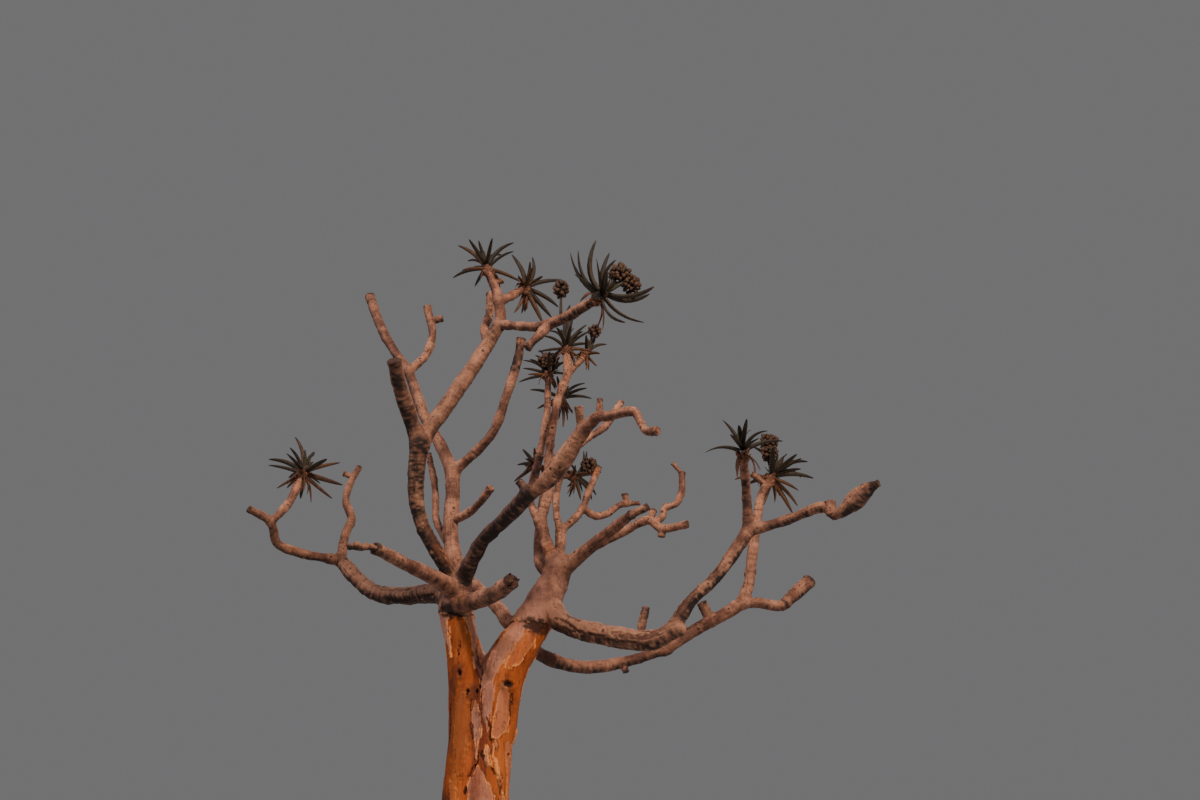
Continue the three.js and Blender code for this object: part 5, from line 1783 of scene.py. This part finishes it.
def front_leaves(leaves, rosette, crown, dice):
    """The leaves that the front view shows. Each tip is its measured place, moved along the line of
    sight towards or away from the camera until the leaf has its natural length."""
    heart, axis = crown["heart"], crown["axis"]
    for i, (right, up) in enumerate(rosette["tips"]):
        flat = heart + np.array([right, 0, up]) * MM
        length = rosette["reach"] * MM * dice.uniform(*FRONT["lengths"])
        least = (FRONT["least_depth"] * length) ** 2 * dice.random()
        depth = math.sqrt(max(length**2 - np.linalg.norm(flat - heart) ** 2, least))
        sight = unit(flat - np.array(CAMERA["place"]))
        tip = flat + sight * depth * (1 if (i + rosette["seed"]) % 2 else -1)
        aim = unit(tip - heart)
        tilt = math.acos(np.clip(aim @ axis, -1, 1))
        age = np.clip((tilt - FRONT["youngest"]) / FRONT["ages"], 0, 1)
        root = foot_of(crown, FRONT["foot"] * age, (FRONT["out"], unit(aim - axis * (aim @ axis))))
        reach = np.linalg.norm(tip - root)
        bow = rosette["bow"] * FRONT["bows"][tilt >= FRONT["spread_from"]] + dice.uniform(*FRONT["bow_range"])
        elbow = (root + tip) / 2 + unit(axis - aim * (aim @ axis)) * bow * 2 * reach
        old = dice.random() < FRONT["old_share"] or tilt >= FRONT["old_from"]
        width = slender(reach) * dice.uniform(*WIDTHS)
        facing = axis + sight * dice.uniform(*FRONT["facing"])
        leaves.add(root=root, elbow=elbow, tip=tip, facing=facing, width=width,
                   kind=OLD if old else GROWN, shade=dice.random())


def hidden_leaves(leaves, rosette, crown, dice):
    """The leaves that point at the camera or away from it: the turn grows by the golden turn, the tilt
    with age from 38 to 126 degrees, and the length swells in middle age."""
    axis, reach = crown["axis"], rosette["reach"] * MM
    least, gain, spread = HIDDEN["length"]
    kept = 0
    for i in range(HIDDEN["count"]):
        age = (i + 0.5) / HIDDEN["count"]
        turn = i * GOLDEN_TURN + dice.uniform(*HIDDEN["turns"])
        tilt = HIDDEN["tilts"][0] + HIDDEN["tilts"][1] * age ** HIDDEN["ease"]
        tilt += dice.uniform(*HIDDEN["stray"])
        prime = math.sin(math.pi * (HIDDEN["prime"][0] + HIDDEN["prime"][1] * age))
        length = reach * (least + gain * prime + spread * dice.random())
        aim, out = aim_of(axis, math.radians(tilt), turn)
        shade, width = dice.random(), dice.uniform(*WIDTHS)
        if math.hypot(aim[0], aim[2]) > HIDDEN["apart"] or kept >= HIDDEN["most"]:
            continue
        root = foot_of(crown, HIDDEN["foot"] * age, (HIDDEN["out"], out))
        elbow = root + (aim * HIDDEN["elbow"][0] + upward(HIDDEN["elbow"][1])) * length
        tip = root + (aim * HIDDEN["tip"] + upward(HIDDEN["droop"][0] - HIDDEN["droop"][1] * age)) * length
        leaves.add(root=root, elbow=elbow, tip=tip, facing=axis, width=slender(length) * width,
                   kind=GROWN if age < HIDDEN["old_from"] else OLD, shade=shade)
        kept += 1


def heart_leaves(leaves, rosette, crown, dice):
    """Short young leaves that stand close round the axis."""
    axis = crown["axis"]
    for i in range(HEART["count"]):
        tilt = math.radians(HEART["tilts"][0] + HEART["tilts"][1] * i)
        aim, out = aim_of(axis, tilt, i * GOLDEN_TURN + dice.random())
        length = rosette["reach"] * MM * (HEART["lengths"][0] + HEART["lengths"][1] * i)
        root = crown["heart"] - axis * HEART["foot"] + out * HEART["out"] * crown["girth"]
        elbow = root + (aim * HEART["elbow"][0] + axis * HEART["elbow"][1]) * length
        leaves.add(root=root, elbow=elbow, tip=root + aim * length, facing=axis - aim * HEART["facing"],
                   width=LEAF_HALF_WIDTH * HEART["width"], kind=YOUNG, shade=dice.random())


def dry_leaves(leaves, rosette, crown, dice):
    """Dead leaves that hang below the head."""
    axis = crown["axis"]
    for i in range(DRY_LEAVES["count"]):
        tilt = math.radians(DRY_LEAVES["tilts"][0] + DRY_LEAVES["tilts"][1] * i)
        aim, out = aim_of(axis, tilt, DRY_LEAVES["skip"] * i * GOLDEN_TURN + dice.random())
        root = foot_of(crown, DRY_LEAVES["foot"], (DRY_LEAVES["out"], out))
        length = rosette["reach"] * MM * dice.uniform(*DRY_LEAVES["lengths"])
        tip = root + (aim * DRY_LEAVES["aim"] + upward(-DRY_LEAVES["hang"])) * length
        leaves.add(root=root, elbow=root + out * DRY_LEAVES["elbow"] * length, tip=tip, facing=axis,
                   width=LEAF_HALF_WIDTH * DRY_LEAVES["width"], kind=DRY, shade=dice.random())


def scales(leaves, crown, dice):
    """The short dry scales that fallen leaves left on the stem."""
    axis = crown["axis"]
    for i in range(SCALES["count"]):
        tilt = math.radians(SCALES["tilts"][0] + SCALES["tilts"][1] * dice.random())
        aim, out = aim_of(axis, tilt, i * GOLDEN_TURN)
        below = SCALES["feet"][0] + SCALES["feet"][1] * i / SCALES["count"]
        root = foot_of(crown, below, (SCALES["out"], out))
        length = dice.uniform(*SCALES["lengths"])
        elbow = root + (aim * SCALES["elbow"][0] + axis * SCALES["elbow"][1]) * length
        leaves.add(root=root, elbow=elbow, tip=root + aim * length, facing=axis,
                   width=LEAF_HALF_WIDTH * SCALES["width"], kind=DRY, shade=dice.random())


def build_leaves(crowns):
    """All rosettes' leaves as one piece, each leaf in the tint of its kind."""
    leaves = Leaves()
    for name, crown in crowns.items():
        rosette = ROSETTES[name]
        dice = np.random.default_rng(rosette["seed"])
        front_leaves(leaves, rosette, crown, dice)
        hidden_leaves(leaves, rosette, crown, dice)
        heart_leaves(leaves, rosette, crown, dice)
        dry_leaves(leaves, rosette, crown, dice)
        scales(leaves, crown, dice)
    points, faces, marks = many_tubes(*leaves.shapes())
    kinds = leaves.rows["kind"]
    foliage = add_mesh("leaves", points, faces, marks, np.repeat(kinds, len(faces) // len(kinds)))
    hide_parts(*ROSETTES)
    for name, colours in LEAVES.items():
        foliage.data.materials.append(husk_material(name, husk, LEAF_MARKS, LEAF_BUMP, colours))


def stalks(plans):
    """Tapering stalks, each from a start to an end with a bend: path (1-t)^2 a + 2t(1-t) b + t^2 c."""
    start, bend, end, thick, thin = (np.array(column, float) for column in zip(*plans))
    t = np.linspace(0, 1, STALK_RINGS)[None, :, None]
    path = (1 - t) ** 2 * start[:, None] + 2 * t * (1 - t) * bend[:, None] + t**2 * end[:, None]
    tangent = unit(np.gradient(path, axis=1))
    side = unit(np.cross(tangent, ASKEW))
    through = np.cross(tangent, side)
    turn = np.arange(STALK_AROUND) / STALK_AROUND * TURN
    radius = thick[:, None] + (thin - thick)[:, None] * t[..., 0]
    arm = np.cos(turn)[:, None] * side[:, :, None] + np.sin(turn)[:, None] * through[:, :, None]
    return path[:, :, None] + radius[:, :, None, None] * arm


def capsules(places, ways, sizes, dice):
    """Dry seed capsules: egg-shaped, with three lobes. Ring radius r sin(pi t^0.8)^0.7 (1 + 0.12 cos 3a),
    a beak at the tip."""
    t = CAPSULE["rings"]
    turn = np.arange(CAPSULE["around"]) / CAPSULE["around"] * TURN
    side = unit(np.cross(ways, dice.normal(size=(len(places), 3))))
    through = np.cross(ways, side)
    swell = np.maximum(np.sin(math.pi * t ** CAPSULE["ease"]), 0) ** CAPSULE["power"]
    ring = swell * CAPSULE["girth"] + CAPSULE["beak"]
    radius = ring[:, None] * (1 + CAPSULE["lobe"] * np.cos(3 * turn))
    arm = np.cos(turn)[:, None] * side[:, None] + np.sin(turn)[:, None] * through[:, None]
    shape = t[None, :, None, None] * ways[:, None, None] + radius[None, :, :, None] * arm[:, None]
    return places[:, None, None] + sizes[:, None, None, None] * shape


def flower_head(name, foot, dice):
    """One spent head: a stalk to each lobe, capsules over the lobe by the golden turn, and their own
    little stalks. Returns stalk plans, and capsules as places, ways and sizes."""
    plans, found = [], []
    for *middle, broad, tall in FLOWER_HEADS[name]:
        middle = np.array(middle) * MM
        half = np.array([broad, broad, tall]) * MM
        bend = (foot + middle) / 2 + upward(STALK["bend"])
        plans.append((foot, bend, middle + upward(half[2] * STALK["top"]), *STALK["thick"]))
        count = max(HEAD["least"], round(4 * math.pi * half[0] * half[2] / HEAD["spacing"] ** 2))
        for i in range(count):
            level = HEAD["lowest"] + HEAD["rise"] * (i + 0.5) / count
            turn = i * GOLDEN_TURN + dice.uniform(*HEAD["turns"])
            spread = math.sqrt(1 - level**2)
            out = np.array([math.cos(turn) * spread, math.sin(turn) * spread, level])
            size = dice.uniform(*HEAD["sizes"])
            place = middle + half * out * dice.uniform(*HEAD["places"])
            way = unit(out + upward(HEAD["lift"]) + dice.normal(size=3) * HEAD["stray"])
            root = middle + upward(half[2] * (level * HEAD["inner"][0] + HEAD["inner"][1]))
            stalk_tip = place + way * CAPSULE_STALK["into"]
            plans.append((root, (root + place) / 2, stalk_tip, *CAPSULE_STALK["thick"]))
            found.append((place, way, size))
    return plans, found


def build_flower_heads(lines, crowns):
    """All spent heads as one piece: stalks and capsules."""
    dice = np.random.default_rng(HEAD_SEED)
    plans, found = [], []
    for name in FLOWER_HEADS:
        alone = lines[LONE_HEAD["on"]].at(LONE_HEAD["at"]) * MM
        head = flower_head(name, crowns[name]["heart"] if name in crowns else alone, dice)
        plans += head[0]
        found += head[1]
    grid = stalks(plans)
    points, faces, marks = many_tubes(grid, dict(tip=0 * grid[..., 0], shade=0 * grid[..., 0] + 0.5))
    grid = capsules(*(np.array(column) for column in zip(*found)), dice)
    shade = dice.random(len(grid))[:, None, None] + 0 * grid[..., 0]
    tip = np.linspace(0, 1, grid.shape[1])[None, :, None] + 0 * grid[..., 0]
    more_points, more_faces, more_marks = many_tubes(grid, dict(tip=tip, shade=shade))
    faces += [[corner + len(points) for corner in face] for face in more_faces]
    marks = {mark: np.concatenate([marks[mark], values]) for mark, values in more_marks.items()}
    fruit = add_mesh("flower_heads", np.vstack([points, more_points]), faces, marks)
    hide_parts("bud_cluster")
    fruit.data.materials.append(husk_material("flower_heads", husk, FRUIT_MARKS, FRUIT_BUMP, FRUIT))


lines, crowns = grow_lines()
husk = husk_group()
build_bark(lines)
build_leaves(crowns)
build_flower_heads(lines, crowns)


# The studio, in metres and watts: a warm key lamp from the front right and a cool one from the left
LAMPS = {
    "key_lamp": dict(place=(3.4, -8.4, 9.0), size=1.4, power=1950, colour=(1.0, 0.89, 0.75), aim=3.0),
    "sky_lamp": dict(place=(-6.5, -3.0, 9.0), size=3.5, power=650, colour=(0.93, 0.93, 1.0), aim=3.0),
    "fill_lamp": dict(place=(7.0, -5.0, 4.0), size=5.0, power=180, colour=(0.92, 0.93, 1.0), aim=3.0),
    "rear_lamp": dict(place=(2.0, 8.0, 7.0), size=6.0, power=420, colour=(0.95, 0.95, 1.0), aim=3.5),
}
# The lamps face the tree's middle, at the height that each names as its aim
LAMP_TARGET = (0.3, 0)
BACKDROP = dict(colour=(0.80, 0.79, 0.81, 1), strength=0.21)
FLOOR = dict(half=40, colour=(0.56, 0.55, 0.54, 1), roughness=0.9)


def area_light(name, place, size, power, colour, aim):
    """A square studio lamp that faces the tree."""
    data = bpy.data.lights.new(name, "AREA")
    data.energy, data.size, data.color = power, size, colour
    lamp = link(name, data)
    lamp.location = place
    direction = Vector((*LAMP_TARGET, aim)) - Vector(place)
    lamp.rotation_euler = direction.to_track_quat("-Z", "Y").to_euler()


def set_camera():
    """The camera of the front view."""
    view = bpy.data.cameras.new("camera")
    view.lens, view.sensor_width = CAMERA["lens"], CAMERA["sensor"]
    view.dof.use_dof = False
    camera = link("camera", view)
    camera.location = CAMERA["place"]
    camera.rotation_euler = (math.radians(90 + CAMERA["pitch"]), 0, math.radians(CAMERA["yaw"]))
    bpy.context.scene.camera = camera


def set_world():
    """Plain, even light from all round."""
    world = bpy.data.worlds.new("studio")
    world.use_nodes = True
    backdrop = world.node_tree.nodes["Background"].inputs
    backdrop["Color"].default_value = BACKDROP["colour"]
    backdrop["Strength"].default_value = BACKDROP["strength"]
    bpy.context.scene.world = world


def lay_floor():
    """A plain pale floor."""
    half = FLOOR["half"]
    mesh = bpy.data.meshes.new("floor")
    corners = [(-half, -half, 0), (half, -half, 0), (half, half, 0), (-half, half, 0)]
    mesh.from_pydata(corners, [], [(0, 1, 2, 3)])
    paint = bpy.data.materials.new("floor_paint")
    paint.use_nodes = True
    shader = paint.node_tree.nodes["Principled BSDF"].inputs
    shader["Base Color"].default_value = FLOOR["colour"]
    shader["Roughness"].default_value = FLOOR["roughness"]
    mesh.materials.append(paint)
    link("floor", mesh)


set_camera()
set_world()
for name, lamp in LAMPS.items():
    area_light(name, **lamp)
lay_floor()
